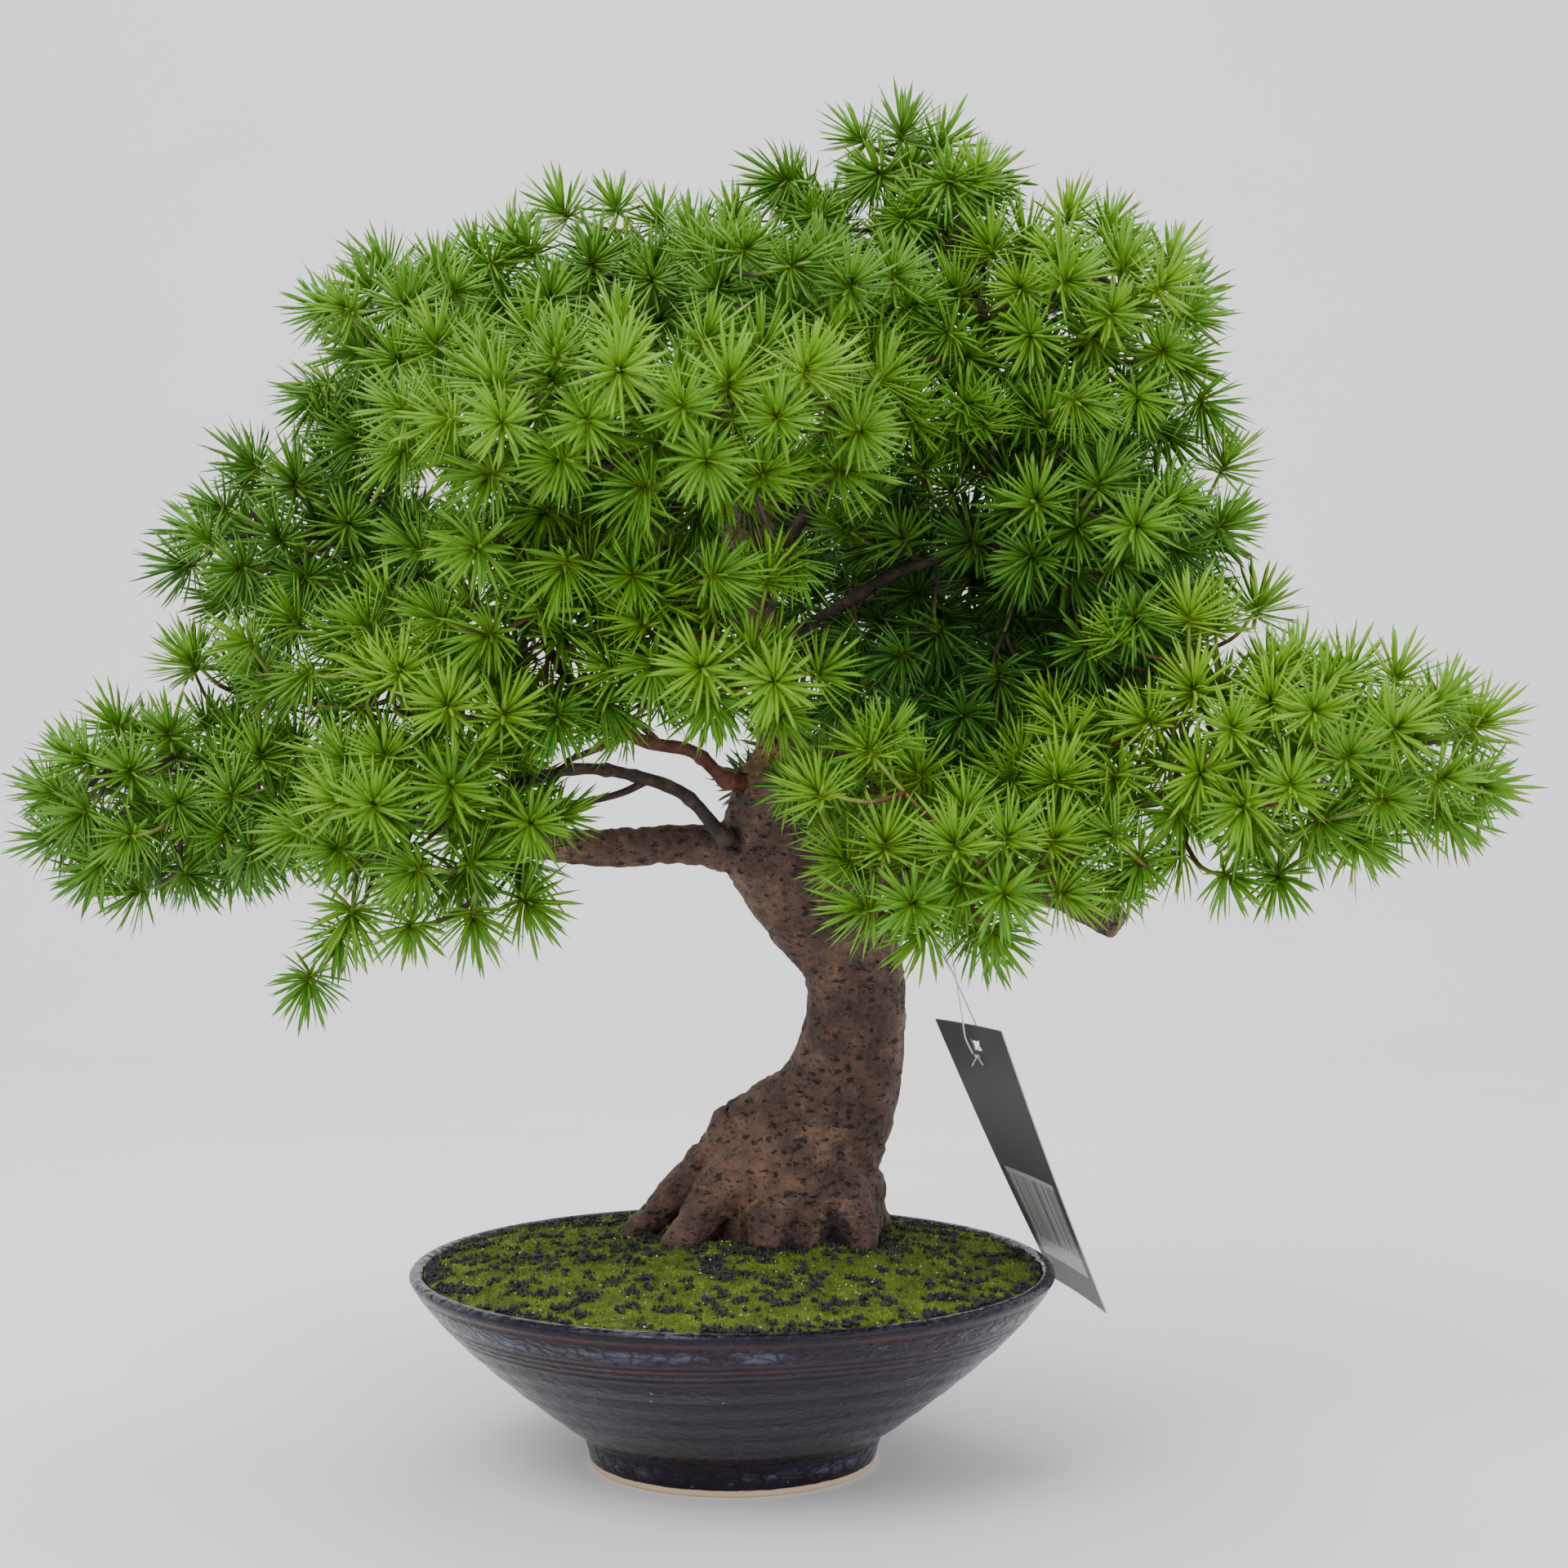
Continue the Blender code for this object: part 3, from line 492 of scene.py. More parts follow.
@dataclass(frozen=True)
class GlazeFinish:
    """A dark crawled glaze with paler bands, rust in the grooves and a bare clay foot."""

    name: str = "dark crawled glaze"
    deep: Colour = (0.0050, 0.0030, 0.0070)
    body: Colour = (0.0140, 0.0095, 0.0190)
    bloom: Colour = (0.0750, 0.0740, 0.1150)
    rust: Colour = (0.0560, 0.0230, 0.0180)
    clay: Colour = (0.6600, 0.5000, 0.3200)
    speck: Colour = (0.34, 0.32, 0.30)
    clay_band: float = 0.0022

    def make(self) -> Material:
        """Glazes the bowl down to the bare clay of its foot.

        Returns:
            The material, ready for the bowl.
        """
        bench = Coating(self.name, 0.3, Specular_IOR_Level=0.17, Coat_Roughness=0.12)
        place = bench.place_of()
        level = bench.put("ShaderNodeSeparateXYZ", {0: place}).outputs["Z"]
        flat = bench.place_of((1.0, 1.0, 2.6))
        smear = bench.mottle(flat, 34.0, 1.5)["Mask"]
        cloud = bench.mottle(place, 260.0, 1.3)
        creases = bench.group(SharedGroup.WRINKLES, {"Coordinate": flat, "Scale": 125.0, "Width": 0.13})
        paler = bench.times(bench.painted("bloom"), bench.ramp(smear, 0.0, 1.0, 0.45, 1.0))
        tone = bench.plus(bench.times(cloud["Mask"], 0.22), bench.times(smear, 0.20))
        tone = bench.plus(tone, bench.times(paler, 0.62), clamp=True)
        colour = bench.three_tones(tone, self.deep, self.body, self.bloom)
        rusty = bench.times(bench.painted("groove"), bench.ramp(smear, 0.1, 0.8, 0.35, 1.0))
        colour = bench.blend(rusty, colour, self.rust)
        net = bench.ramp(paler, 0.15, 0.6, 0.12, 1.0)
        creased = bench.times(bench.times(creases.outputs["Mask"], net), 0.85)
        colour = bench.blend(creased, colour, self.deep)
        specks = bench.pits(place, 520.0, 0.22, 0.035)
        colour = bench.blend(bench.times(specks, 0.8), colour, self.speck)
        uneven = bench.times(cloud["Height"], 0.0009)
        bare = bench.ramp(bench.plus(level, uneven), self.clay_band + 0.0009, self.clay_band + 0.0004)
        colour = bench.blend(bare, colour, self.clay)
        rough = bench.plus(bench.ramp(cloud["Mask"], 0.0, 1.0, 0.20, 0.34), bench.times(bare, 0.4))
        bench.feed(bench.shader.inputs["Coat Weight"], bench.ramp(bare, 0.0, 1.0, 0.10, 0.0))
        height = bench.plus(bench.times(creases.outputs["Height"], net), bench.times(cloud["Height"], 0.45))
        return bench.cover(colour, rough, height, 0.0008, 0.8)


@dataclass(frozen=True)
class NeedleFinish:
    """Soft moulded needles with painted light and shade: yellowish at the heart of each sprig, with the heart
    brightened further as a painted glow, and darker low in a pad and at the tips as painted shade.
    """

    name: str
    # bright and shaded are the lit and the shaded colour of the same needles: painted light and shade.
    bright: Colour
    shaded: Colour
    heart: Colour

    def make(self) -> Material:
        """Colours the needles.

        Returns:
            The material, for needles painted with along and tone.
        """
        bench = Coating(self.name, 0.48, Specular_IOR_Level=0.28)
        place = bench.place_of()
        along = bench.painted("along")
        # Painted light and shade: the tone runs from the shaded colour to the lit one.
        colour = bench.blend(bench.painted("tone"), self.shaded, self.bright)
        # Paler yellow-green at each needle's base, brightened further as a painted glow.
        colour = bench.blend(bench.times(bench.ramp(along, 0.34, 0.0), 0.75), colour, self.heart)
        # Painted shade: the tips darken toward the shaded colour.
        colour = bench.blend(bench.ramp(along, 0.55, 1.0, 0.0, 0.42), colour, self.shaded)
        streak = bench.mottle(place, 260.0, 1.2)["Mask"]
        colour = bench.blend(bench.times(streak, 0.25), colour, self.bright)
        ribs = bench.put("ShaderNodeTexNoise", {"Vector": place, "Scale": 1500.0, "Detail": 1.0}).outputs[0]
        return bench.cover(colour, bench.ramp(streak, 0.0, 1.0, 0.42, 0.56), ribs, 0.0002, 0.4)


@dataclass(frozen=True)
class TwigFinish:
    """Thin moulded twigs that turn from brown to green towards the sprigs."""

    name: str
    wood: Colour
    green: Colour = (0.280, 0.430, 0.040)

    def make(self) -> Material:
        """Colours the twigs.

        Returns:
            The material, for twigs painted with along.
        """
        bench = Coating(self.name, 0.5, Specular_IOR_Level=0.4)
        cloud = bench.mottle(bench.place_of(), 300.0, 1.3)
        colour = bench.blend(bench.ramp(bench.painted("along"), 0.35, 0.85), self.wood, self.green)
        dull = tuple(part * 0.45 for part in self.wood)
        colour = bench.blend(bench.times(cloud["Mask"], 0.55), colour, dull)
        return bench.cover(colour, bench.ramp(cloud["Mask"], 0.0, 1.0, 0.42, 0.62), cloud["Height"], 0.0005, 0.7)


@dataclass(frozen=True)
class MossFinish:
    """Flocked artificial moss: lime and olive fibres on a dark mat."""

    name: str
    lime: Colour = (0.360, 0.450, 0.045)
    olive: Colour = (0.125, 0.175, 0.018)
    soil: Colour = (0.022, 0.021, 0.024)

    def make(self) -> Material:
        """Colours the moss.

        Returns:
            The material, for a mat painted with tone and crumb.
        """
        bench = Coating(self.name, 0.92, Specular_IOR_Level=0.2)
        place = bench.place_of()
        broad = bench.mottle(place, 70.0, 1.5)["Mask"]
        fine = bench.mottle(place, 700.0, 1.4)
        tone = bench.plus(bench.times(broad, 0.30), bench.times(fine["Mask"], 0.30))
        tone = bench.plus(tone, bench.times(bench.painted("tone"), 0.42))
        colour = bench.three_tones(tone, self.soil, self.olive, self.lime)
        colour = bench.blend(bench.painted("crumb"), colour, self.soil)
        return bench.cover(colour, bench.ramp(fine["Mask"], 0.0, 1.0, 0.82, 0.98), fine["Height"], 0.0012, 1.0)


@dataclass(frozen=True)
class GrainFinish:
    """A mottled, grainy or pitted solid colour, for crumbs, cement, foam, soil and nylon."""

    name: str
    dark: Colour
    middle: Colour
    light: Colour
    scale: float
    roughness: float
    relief: float
    pit_size: float = 0.3
    pit_share: float = 0.0
    metallic: float = 0.0
    specular: float = 0.5

    def make(self) -> Material:
        """Makes the grain.

        Returns:
            The material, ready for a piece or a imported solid.
        """
        bench = Coating(self.name, self.roughness, Metallic=self.metallic, Specular_IOR_Level=self.specular)
        place = bench.place_of()
        cloud = bench.mottle(place, self.scale, 1.3)
        colour = bench.three_tones(cloud["Mask"], self.dark, self.middle, self.light)
        pits = bench.pits(place, self.scale * 1.6, self.pit_size, self.pit_share)
        # Painted shade: the pits are darkened toward the dark colour.
        colour = bench.blend(bench.times(pits, 0.8), colour, self.dark)
        rough = bench.ramp(cloud["Mask"], 0.0, 1.0, self.roughness - 0.08, min(self.roughness + 0.1, 1.0))
        height = bench.minus(cloud["Height"], bench.times(pits, 0.6))
        return bench.cover(colour, rough, height, self.relief, 0.9)


@dataclass(frozen=True)
class CardFinish:
    """Printed card: dark grey ink, lightened as painted sheen, with a pale panel of plain bars low on the front.
    """

    name: str = "printed card"
    # Dark grey ink, made lighter as painted sheen.
    ink: Colour = (0.080, 0.079, 0.087)
    panel: Colour = (0.560, 0.560, 0.580)
    bars: Colour = (0.210, 0.210, 0.220)
    worn_ink: Colour = (0.105, 0.104, 0.112)
    panel_low: tuple[float, float] = (-0.0185, 0.0605)
    panel_high: tuple[float, float] = (0.0185, 0.0985)
    bar_ends: tuple[float, float] = (0.0625, 0.0905)
    soft_edge: float = 0.0004

    def make(self) -> Material:
        """Prints the front of the card.

        Returns:
            The material, for a card whose own x runs across it and y runs down it.
        """
        bench = Coating(self.name, 0.36, Specular_IOR_Level=0.5)
        place = bench.place_of()
        parts = bench.put("ShaderNodeSeparateXYZ", {0: place})
        across, down = parts.outputs["X"], parts.outputs["Y"]
        inside = bench.ramp(across, self.panel_low[0], self.panel_low[0] + self.soft_edge)
        for value, low, high in ((across, self.panel_high[0], self.panel_high[0] - self.soft_edge),
                                 (down, self.panel_low[1], self.panel_low[1] + self.soft_edge),
                                 (down, self.panel_high[1], self.panel_high[1] - self.soft_edge)):
            inside = bench.times(inside, bench.ramp(value, low, high))
        stripe = bench.put("ShaderNodeTexNoise", {"W": bench.times(across, 1.0 / MILLIMETRE), "Scale": 0.55,
                                                  "Detail": 0.0}, noise_dimensions="1D").outputs[0]
        striped = bench.ramp(stripe, 0.47, 0.50)
        for end, fade in zip(self.bar_ends, (0.0003, -0.0003)):
            striped = bench.times(striped, bench.ramp(down, end, end + fade))
        grain = bench.mottle(place, 900.0, 1.1)
        print_colour = bench.blend(bench.times(striped, 0.85), self.panel, self.bars)
        ink = bench.blend(bench.times(grain["Mask"], 0.35), self.ink, self.worn_ink)
        colour = bench.blend(inside, ink, print_colour)
        rough = bench.ramp(grain["Mask"], 0.0, 1.0, 0.30, 0.42)
        return bench.cover(colour, rough, grain["Height"], 0.00008, 0.5)


# ---------------------------------------------------------------- mesh building
def place_in_scene(name: str, data: bpy.types.ID) -> Piece:
    """Puts a new object in the scene.

    Args:
        name: The object's name.
        data: Its mesh, light or camera.

    Returns:
        The object.
    """
    made = bpy.data.objects.new(name, data)
    bpy.context.scene.collection.objects.link(made)
    return made


def unit(vectors: np.ndarray) -> np.ndarray:
    """Rows of vectors, each made one long."""
    return vectors / np.maximum(np.linalg.norm(vectors, axis=-1, keepdims=True), 1e-12)


def flowing(points: list[Point], per_span: int) -> np.ndarray:
    """Points on a smooth curve that passes through the given ones.

    Args:
        points: Where the curve passes.
        per_span: How many steps it takes from each to the next.

    Returns:
        The curve's points, one a row.
    """
    knots = np.array(points, float)
    knots = np.vstack([knots[0] * 2 - knots[1], knots, knots[-1] * 2 - knots[-2]])
    steps = np.arange(per_span)[:, None] / per_span
    runs = []
    for before, start, end, after in zip(knots, knots[1:], knots[2:], knots[3:]):
        runs.append(0.5 * (2 * start + (end - before) * steps
                           + (2 * before - 5 * start + 4 * end - after) * steps ** 2
                           + (3 * start - before - 3 * end + after) * steps ** 3))
    return np.vstack([*runs, knots[-2]])


def ring_walls(count: int, sides: int) -> np.ndarray:
    """Quads that join a stack of rings, each from a ring's corner to its neighbour and up.

    Args:
        count: How many rings there are.
        sides: How many corners each has.

    Returns:
        The corner numbers, a quad a row.
    """
    first = np.arange(count - 1)[:, None] * sides
    low, near = first + np.arange(sides), first + (np.arange(sides) + 1) % sides
    return np.stack([low, near, near + sides, low + sides], -1).reshape(-1, 4)


def around(count: int) -> np.ndarray:
    """Angles spread evenly once round."""
    return np.arange(count) * 2 * math.pi / count


def tube(path: np.ndarray, radii: np.ndarray, sides: int) -> tuple[np.ndarray, list[np.ndarray], np.ndarray]:
    """A closed tube along a path.

    Args:
        path: The points down its middle, one a row.
        radii: Its radius at each of them.
        sides: How many sides it has.

    Returns:
        Its points, its faces, and how far along the path each point is, from 0 to 1.
    """
    runs = unit(np.gradient(path, axis=0))
    side = np.cross(runs[0], (0.0, 0.0, 1.0) if abs(runs[0][2]) < 0.9 else (1.0, 0.0, 0.0))
    rings = []
    turn = around(sides)
    for middle, run, radius in zip(path, runs, radii):
        side = side - run * np.dot(side, run)
        side /= np.linalg.norm(side)
        other = np.cross(run, side)
        rings.append(middle + radius * (np.cos(turn)[:, None] * side + np.sin(turn)[:, None] * other))
    points = np.vstack([*rings, path[0], path[-1]])
    count = len(path)
    first, top = count * sides, (count - 1) * sides
    ring, after = np.arange(sides), (np.arange(sides) + 1) % sides
    caps = np.vstack([np.stack([after, ring, np.full(sides, first)], -1),
                      np.stack([ring + top, after + top, np.full(sides, first + 1)], -1)])
    along = np.append(np.repeat(np.linspace(0.0, 1.0, count), sides), (0.0, 1.0))
    return points, [ring_walls(count, sides), caps], along


class MeshStock:
    """Gathers points, faces and painted values, and turns them into one mesh piece."""

    def __init__(self) -> None:
        """Starts empty."""
        self.points: list[np.ndarray] = []
        self.faces: list[np.ndarray] = []
        self.finishes: list[np.ndarray] = []
        self.values: dict[str, list[np.ndarray]] = {}
        self.count = 0

    def add(self, points: np.ndarray, faces: list[np.ndarray], finish: int = 0, **values: np.ndarray) -> None:
        """Adds a part to the piece.

        Args:
            points: Its points, one a row.
            faces: Its faces, as arrays of one corner count each.
            finish: The number of its material.
            **values: A value for each point, under the name that it is painted with.
        """
        self.points.append(np.asarray(points, float))
        for kind in faces:
            self.add_faces(kind + self.count, finish)
        for name in sorted({*self.values, *values}):
            kept = self.values.setdefault(name, [np.zeros(self.count)] if self.count else [])
            kept.append(np.broadcast_to(np.asarray(values.get(name, 0.0), float), (len(points),)))
        self.count += len(points)

    def add_faces(self, corners: np.ndarray, finish: int) -> None:
        """Adds faces of one corner count, by the piece's own point numbers."""
        self.faces.append(corners)
        self.finishes.append(np.full(len(corners), finish))

    def make(self, name: str, materials: list[Material], smooth: bool = True) -> Piece:
        """The piece, in the scene.

        Args:
            name: The piece's name.
            materials: Its materials, by number.
            smooth: Whether its faces are shaded smoothly.

        Returns:
            The new object.
        """
        mesh = bpy.data.meshes.new(name)
        points = np.vstack(self.points).astype(np.float32)
        mesh.vertices.add(len(points))
        mesh.vertices.foreach_set("co", points.ravel())
        corners = np.concatenate([kind.ravel() for kind in self.faces])
        sizes = np.concatenate([np.full(len(kind), kind.shape[1]) for kind in self.faces])
        mesh.loops.add(len(corners))
        mesh.loops.foreach_set("vertex_index", corners)
        mesh.polygons.add(len(sizes))
        mesh.polygons.foreach_set("loop_start", np.concatenate([[0], np.cumsum(sizes)[:-1]]))
        mesh.polygons.foreach_set("material_index", np.concatenate(self.finishes))
        mesh.polygons.foreach_set("use_smooth", np.full(len(sizes), smooth))
        mesh.update(calc_edges=True)
        mesh.validate()
        for label, kept in self.values.items():
            mesh.attributes.new(label, "FLOAT", "POINT").data.foreach_set("value", np.concatenate(kept))
        for material in materials:
            mesh.materials.append(material)
        return place_in_scene(name, mesh)


def finish_piece(piece: Piece, body: str, stands_for: tuple[str, ...] = ()) -> Piece:
    """Puts a piece on its body and hides the solids that it stands for.

    Args:
        piece: The new piece.
        body: The body that it moves with.
        stands_for: The solids that it replaces.

    Returns:
        The piece.
    """
    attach(piece, body)
    if stands_for:
        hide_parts(*stands_for)
    LOG.info("%s: %d faces on %s", piece.name, len(piece.data.polygons), body)
    return piece


def dress(node: str, material: Material) -> None:
    """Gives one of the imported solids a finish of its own.

    Args:
        node: The solid's name.
        material: Its finish.
    """
    solid = frame["nodes"][node]
    solid.data.materials.clear()
    solid.data.materials.append(material)
    LOG.info("%s: dressed with %s", node, material.name)


class Wave(NamedTuple):
    """One layer of smooth noise: its height, the size of its lumps and its seed."""

    height: float
    size: float
    seed: float


def bell(values: np.ndarray, middle: float, reach: float) -> np.ndarray:
    """A smooth bump that is 1 at its middle and fades out past its reach."""
    return np.exp(-((values - middle) / reach) ** 2)


def ripple(points: np.ndarray, size: float, seed: float) -> np.ndarray:
    """Smooth noise at each point, about -1 to 1, with lumps of the given size."""
    shift = Vector((seed, seed * 1.7, seed * 0.6))
    return np.array([noise.noise(Vector(point) / size + shift) for point in points])


def waves(points: np.ndarray, kinds: tuple[Wave, ...]) -> np.ndarray:
    """Several ripples added together at each point."""
    return sum(kind.height * ripple(points, kind.size, kind.seed) for kind in kinds)


# ---------------------------------------------------------------- camera, lights and floor
@dataclass(frozen=True)
class Softbox:
    """One square soft light; its size is the length of its side and its power is in watts."""

    name: str
    place: Point
    size: float
    power: float
    colour: Colour

    def hang(self, aim: Point) -> None:
        """Hangs the light so that it faces a point.

        Args:
            aim: The point.
        """
        data = bpy.data.lights.new(self.name, "AREA")
        data.size = self.size
        data.energy = self.power
        data.color = self.colour
        light = place_in_scene(self.name, data)
        light.location = self.place
        light.rotation_euler = (Vector(self.place) - Vector(aim)).to_track_quat("Z", "Y").to_euler()


@dataclass
class Studio:
    """A pale floor that curves up behind the tree, soft lights, and the camera in front."""

    eye: Point = (0.0183, -0.9600, 0.2630)
    pitch: float = 88.7
    lens: float = 61.9
    floor_colour: Colour = (0.90, 0.90, 0.90)
    floor_half: float = 3.0
    floor_back: float = 1.1
    cove_radius: float = 0.5
    wall_height: float = 2.6
    middle: Point = (0.0, 0.0, 0.26)
    softboxes: tuple[Softbox, ...] = (
        Softbox("key_softbox", (-0.75, -1.05, 1.55), 1.2, 27.0, (1.0, 0.985, 0.96)),
        Softbox("fill_softbox", (1.35, -1.15, 0.75), 1.3, 9.0, (0.96, 0.98, 1.0)),
        Softbox("top_softbox", (0.1, 0.35, 1.75), 1.4, 17.0, (1.0, 1.0, 1.0)))
    air_colour: Colour = (0.93, 0.95, 1.0)
    air_strength: float = 0.95

    def place_camera(self) -> None:
        """Stands the camera in front of the tree, a little above its middle."""
        data = bpy.data.cameras.new("front_camera")
        data.lens = self.lens
        data.sensor_width = 36.0
        camera = place_in_scene("front_camera", data)
        camera.location = self.eye
        camera.rotation_euler = (math.radians(self.pitch), 0.0, 0.0)
        bpy.context.scene.camera = camera

    def build_floor(self) -> None:
        """Lays the floor and its curved backdrop as one sheet."""
        turn = np.linspace(0.0, math.pi / 2, 13)
        profile = [(-self.floor_half, 0.0)]
        for angle in turn:
            profile.append((self.floor_back + self.cove_radius * math.sin(angle),
                            self.cove_radius * (1 - math.cos(angle))))
        profile.append((self.floor_back + self.cove_radius, self.wall_height))
        points = np.array([(x, y, z) for y, z in profile for x in (-self.floor_half, self.floor_half)])
        rows = np.arange(len(profile) - 1)[:, None] * 2
        stock = MeshStock()
        stock.add(points, [np.hstack([rows, rows + 1, rows + 3, rows + 2])])
        finish = GrainFinish("pale backdrop", *(tuple(part * share for part in self.floor_colour)
                                               for share in (0.985, 1.0, 1.01)), 6.0, 0.85, 0.0001)
        stock.make("backdrop", [finish.make()])

    def light(self) -> None:
        """Hangs the soft lights and sets the pale surroundings."""
        for softbox in self.softboxes:
            softbox.hang(self.middle)
        world = bpy.data.worlds.new("pale_room")
        bpy.context.scene.world = world
        world.use_nodes = True
        background = world.node_tree.nodes["Background"]
        background.inputs["Color"].default_value = (*self.air_colour, 1.0)
        background.inputs["Strength"].default_value = self.air_strength


# ---------------------------------------------------------------- the tag and its thread
@dataclass
class SwingTag:
    """A printed card on a loop of clear nylon thread that hangs from a limb."""

    width: float = 0.0450
    length: float = 0.1110
    thickness: float = 0.0005
    hole_radius: float = 0.0022
    hole_inset: float = 0.0085
    curl: float = 0.0011
    twist: float = 10.0
    thread_radius: float = 0.0003
    thread_length: float = 0.169
    knot_radius: float = 0.00115
    across: Point = (0.45798, -0.88896, 0.0)
    down: Point = (0.40770, 0.21005, -0.88863)
    corner: Point = (0.07320, 0.01088, 0.15629)
    back_finish: GrainFinish = GrainFinish(
        "plain card back", (0.40, 0.40, 0.41), (0.46, 0.46, 0.47), (0.50, 0.50, 0.51), 700.0, 0.5, 0.0001)
    edge_finish: GrainFinish = GrainFinish(
        "cut card edge", (0.30, 0.30, 0.30), (0.42, 0.42, 0.42), (0.55, 0.55, 0.54), 1500.0, 0.8, 0.0001)
    nylon: GrainFinish = GrainFinish(
        "clear nylon", (0.62, 0.64, 0.65), (0.74, 0.76, 0.77), (0.86, 0.88, 0.88), 900.0, 0.2, 0.00005,
        specular=0.6)
    knot: Point = (0.08680, -0.00740, 0.14500)
    thread_route: list[Point] = field(default_factory=lambda: [
        (0.08518, -0.00827, 0.14586), (0.08245, -0.00967, 0.15171), (0.08137, -0.00885, 0.15857),
        (0.07930, -0.00728, 0.17173), (0.07659, -0.00522, 0.18889), (0.07452, -0.00365, 0.20205),
        (0.07343, -0.00283, 0.20892), (0.07185, 0.00029, 0.21488), (0.06824, 0.00775, 0.21727),
        (0.06472, 0.01518, 0.21467), (0.06335, 0.01823, 0.20861), (0.06619, 0.01516, 0.20210),
        (0.07164, 0.00929, 0.18963), (0.07875, 0.00163, 0.17335), (0.08419, -0.00425, 0.16088),
        (0.08704, -0.00731, 0.15437), (0.08827, -0.00668, 0.15081), (0.08691, -0.00738, 0.14699)])

    def build_card(self) -> Piece:
        """The card, slightly curled, with a punched hole; its own x runs across and y runs down.

        Returns:
            The card's piece.
        """
        columns, rows = 31, 75
        xs = np.linspace(-self.width / 2, self.width / 2, columns)
        ys = np.linspace(0.0, self.length, rows)
        grid = np.array([(x, y, 0.0) for y in ys for x in xs])
        index = np.arange(columns * rows).reshape(rows, columns)
        cells = np.stack([index[:-1, :-1], index[:-1, 1:], index[1:, 1:], index[1:, :-1]], -1).reshape(-1, 4)
        offset = grid[:, :2] - (0.0, self.hole_inset)
        reach = np.linalg.norm(offset, axis=1)
        cut = self.hole_radius * 0.85
        cells = cells[(reach[cells] > cut).all(axis=1)]
        on_edge = np.zeros(len(grid), bool)
        near = (reach > cut) & (reach < self.hole_radius * 1.45)
        on_edge[near] = np.bincount(cells.ravel(), minlength=len(grid))[near] < 4
        grid[on_edge, :2] = (0.0, self.hole_inset) + offset[on_edge] / reach[on_edge, None] * self.hole_radius
        grid[:, 2] = self.curl * (2 * (grid[:, 0] / self.width) ** 2 - 0.3) + self.curl * 0.8 * np.sin(
            grid[:, 1] / self.length * math.pi)
        slope = np.tan(math.radians(self.twist) * grid[:, 1] / self.length)
        grid[:, 2] += (grid[:, 0] + self.width / 2) * slope
        front, back = grid + (0, 0, self.thickness / 2), grid - (0, 0, self.thickness / 2)
        edges: dict[tuple[int, int], tuple[int, int]] = {}
        for cell in cells:
            for a, b in zip(cell, np.roll(cell, -1)):
                if (b, a) in edges:
                    del edges[(b, a)]
                else:
                    edges[(a, b)] = (a, b)
        rim = np.array(list(edges.values()))
        total = len(grid)
        sides = np.stack([rim[:, 1], rim[:, 0], rim[:, 0] + total, rim[:, 1] + total], -1)
        stock = MeshStock()
        stock.add(np.vstack([front, back]), [cells])
        stock.add_faces(cells[:, ::-1] + total, 1)
        stock.add_faces(sides, 2)
        finishes = [CardFinish().make(), self.back_finish.make(), self.edge_finish.make()]
        card = stock.make("swing_card", finishes, smooth=False)
        across, down = Vector(self.across), Vector(self.down)
        face = down.cross(across)
        origin = Vector(self.corner) + across * (self.width / 2)
        turned = Matrix((across, down, face)).transposed().to_4x4()
        card.matrix_world = Matrix.Translation(origin) @ turned
        return finish_piece(card, "tag", ("swing_tag",))

    def build_knot(self, nylon: Material) -> Piece:
        """An overhand knot in the thread with two trimmed tails.

        Args:
            nylon: The thread's material.

        Returns:
            The knot's piece.
        """
        turn = np.linspace(0.0, 2 * math.pi, 60)[:-1]
        loop = np.stack([np.sin(turn) + 2 * np.sin(2 * turn), np.cos(turn) - 2 * np.cos(2 * turn),
                         -1.1 * np.sin(3 * turn)], -1) / 3.0 * (self.knot_radius - self.thread_radius)
        loop = np.vstack([loop, loop[:2]])
        stock = MeshStock()
        middle = np.array(self.knot)
        points, faces, _ = tube(loop + middle, np.full(len(loop), self.thread_radius * 1.15), 8)
        stock.add(points, faces)
        for lean in ((-0.5, -0.3, -0.8), (0.4, -0.6, -0.7)):
            heading = unit(np.array(lean))
            tail = middle + heading * np.linspace(0.0003, 0.0042, 6)[:, None]
            tail[:, 0] += np.linspace(0.0, 0.0006, 6) ** 2 * 400
            points, faces, _ = tube(tail, np.full(6, self.thread_radius * 0.8), 8)
            stock.add(points, faces)
        return finish_piece(stock.make("thread_knot", [nylon]), "tag", ("tag_knot",))

    def build(self) -> None:
        nylon = self.nylon.make()
        path = flowing(self.thread_route, 5)
        stock = MeshStock()
        points, faces, _ = tube(path, np.full(len(path), self.thread_radius), 10)
        stock.add(points, faces)
        thread = finish_piece(stock.make("nylon_thread", [nylon]), "tag", ("tag_thread",))
        knot = self.build_knot(nylon)
        self.build_card()


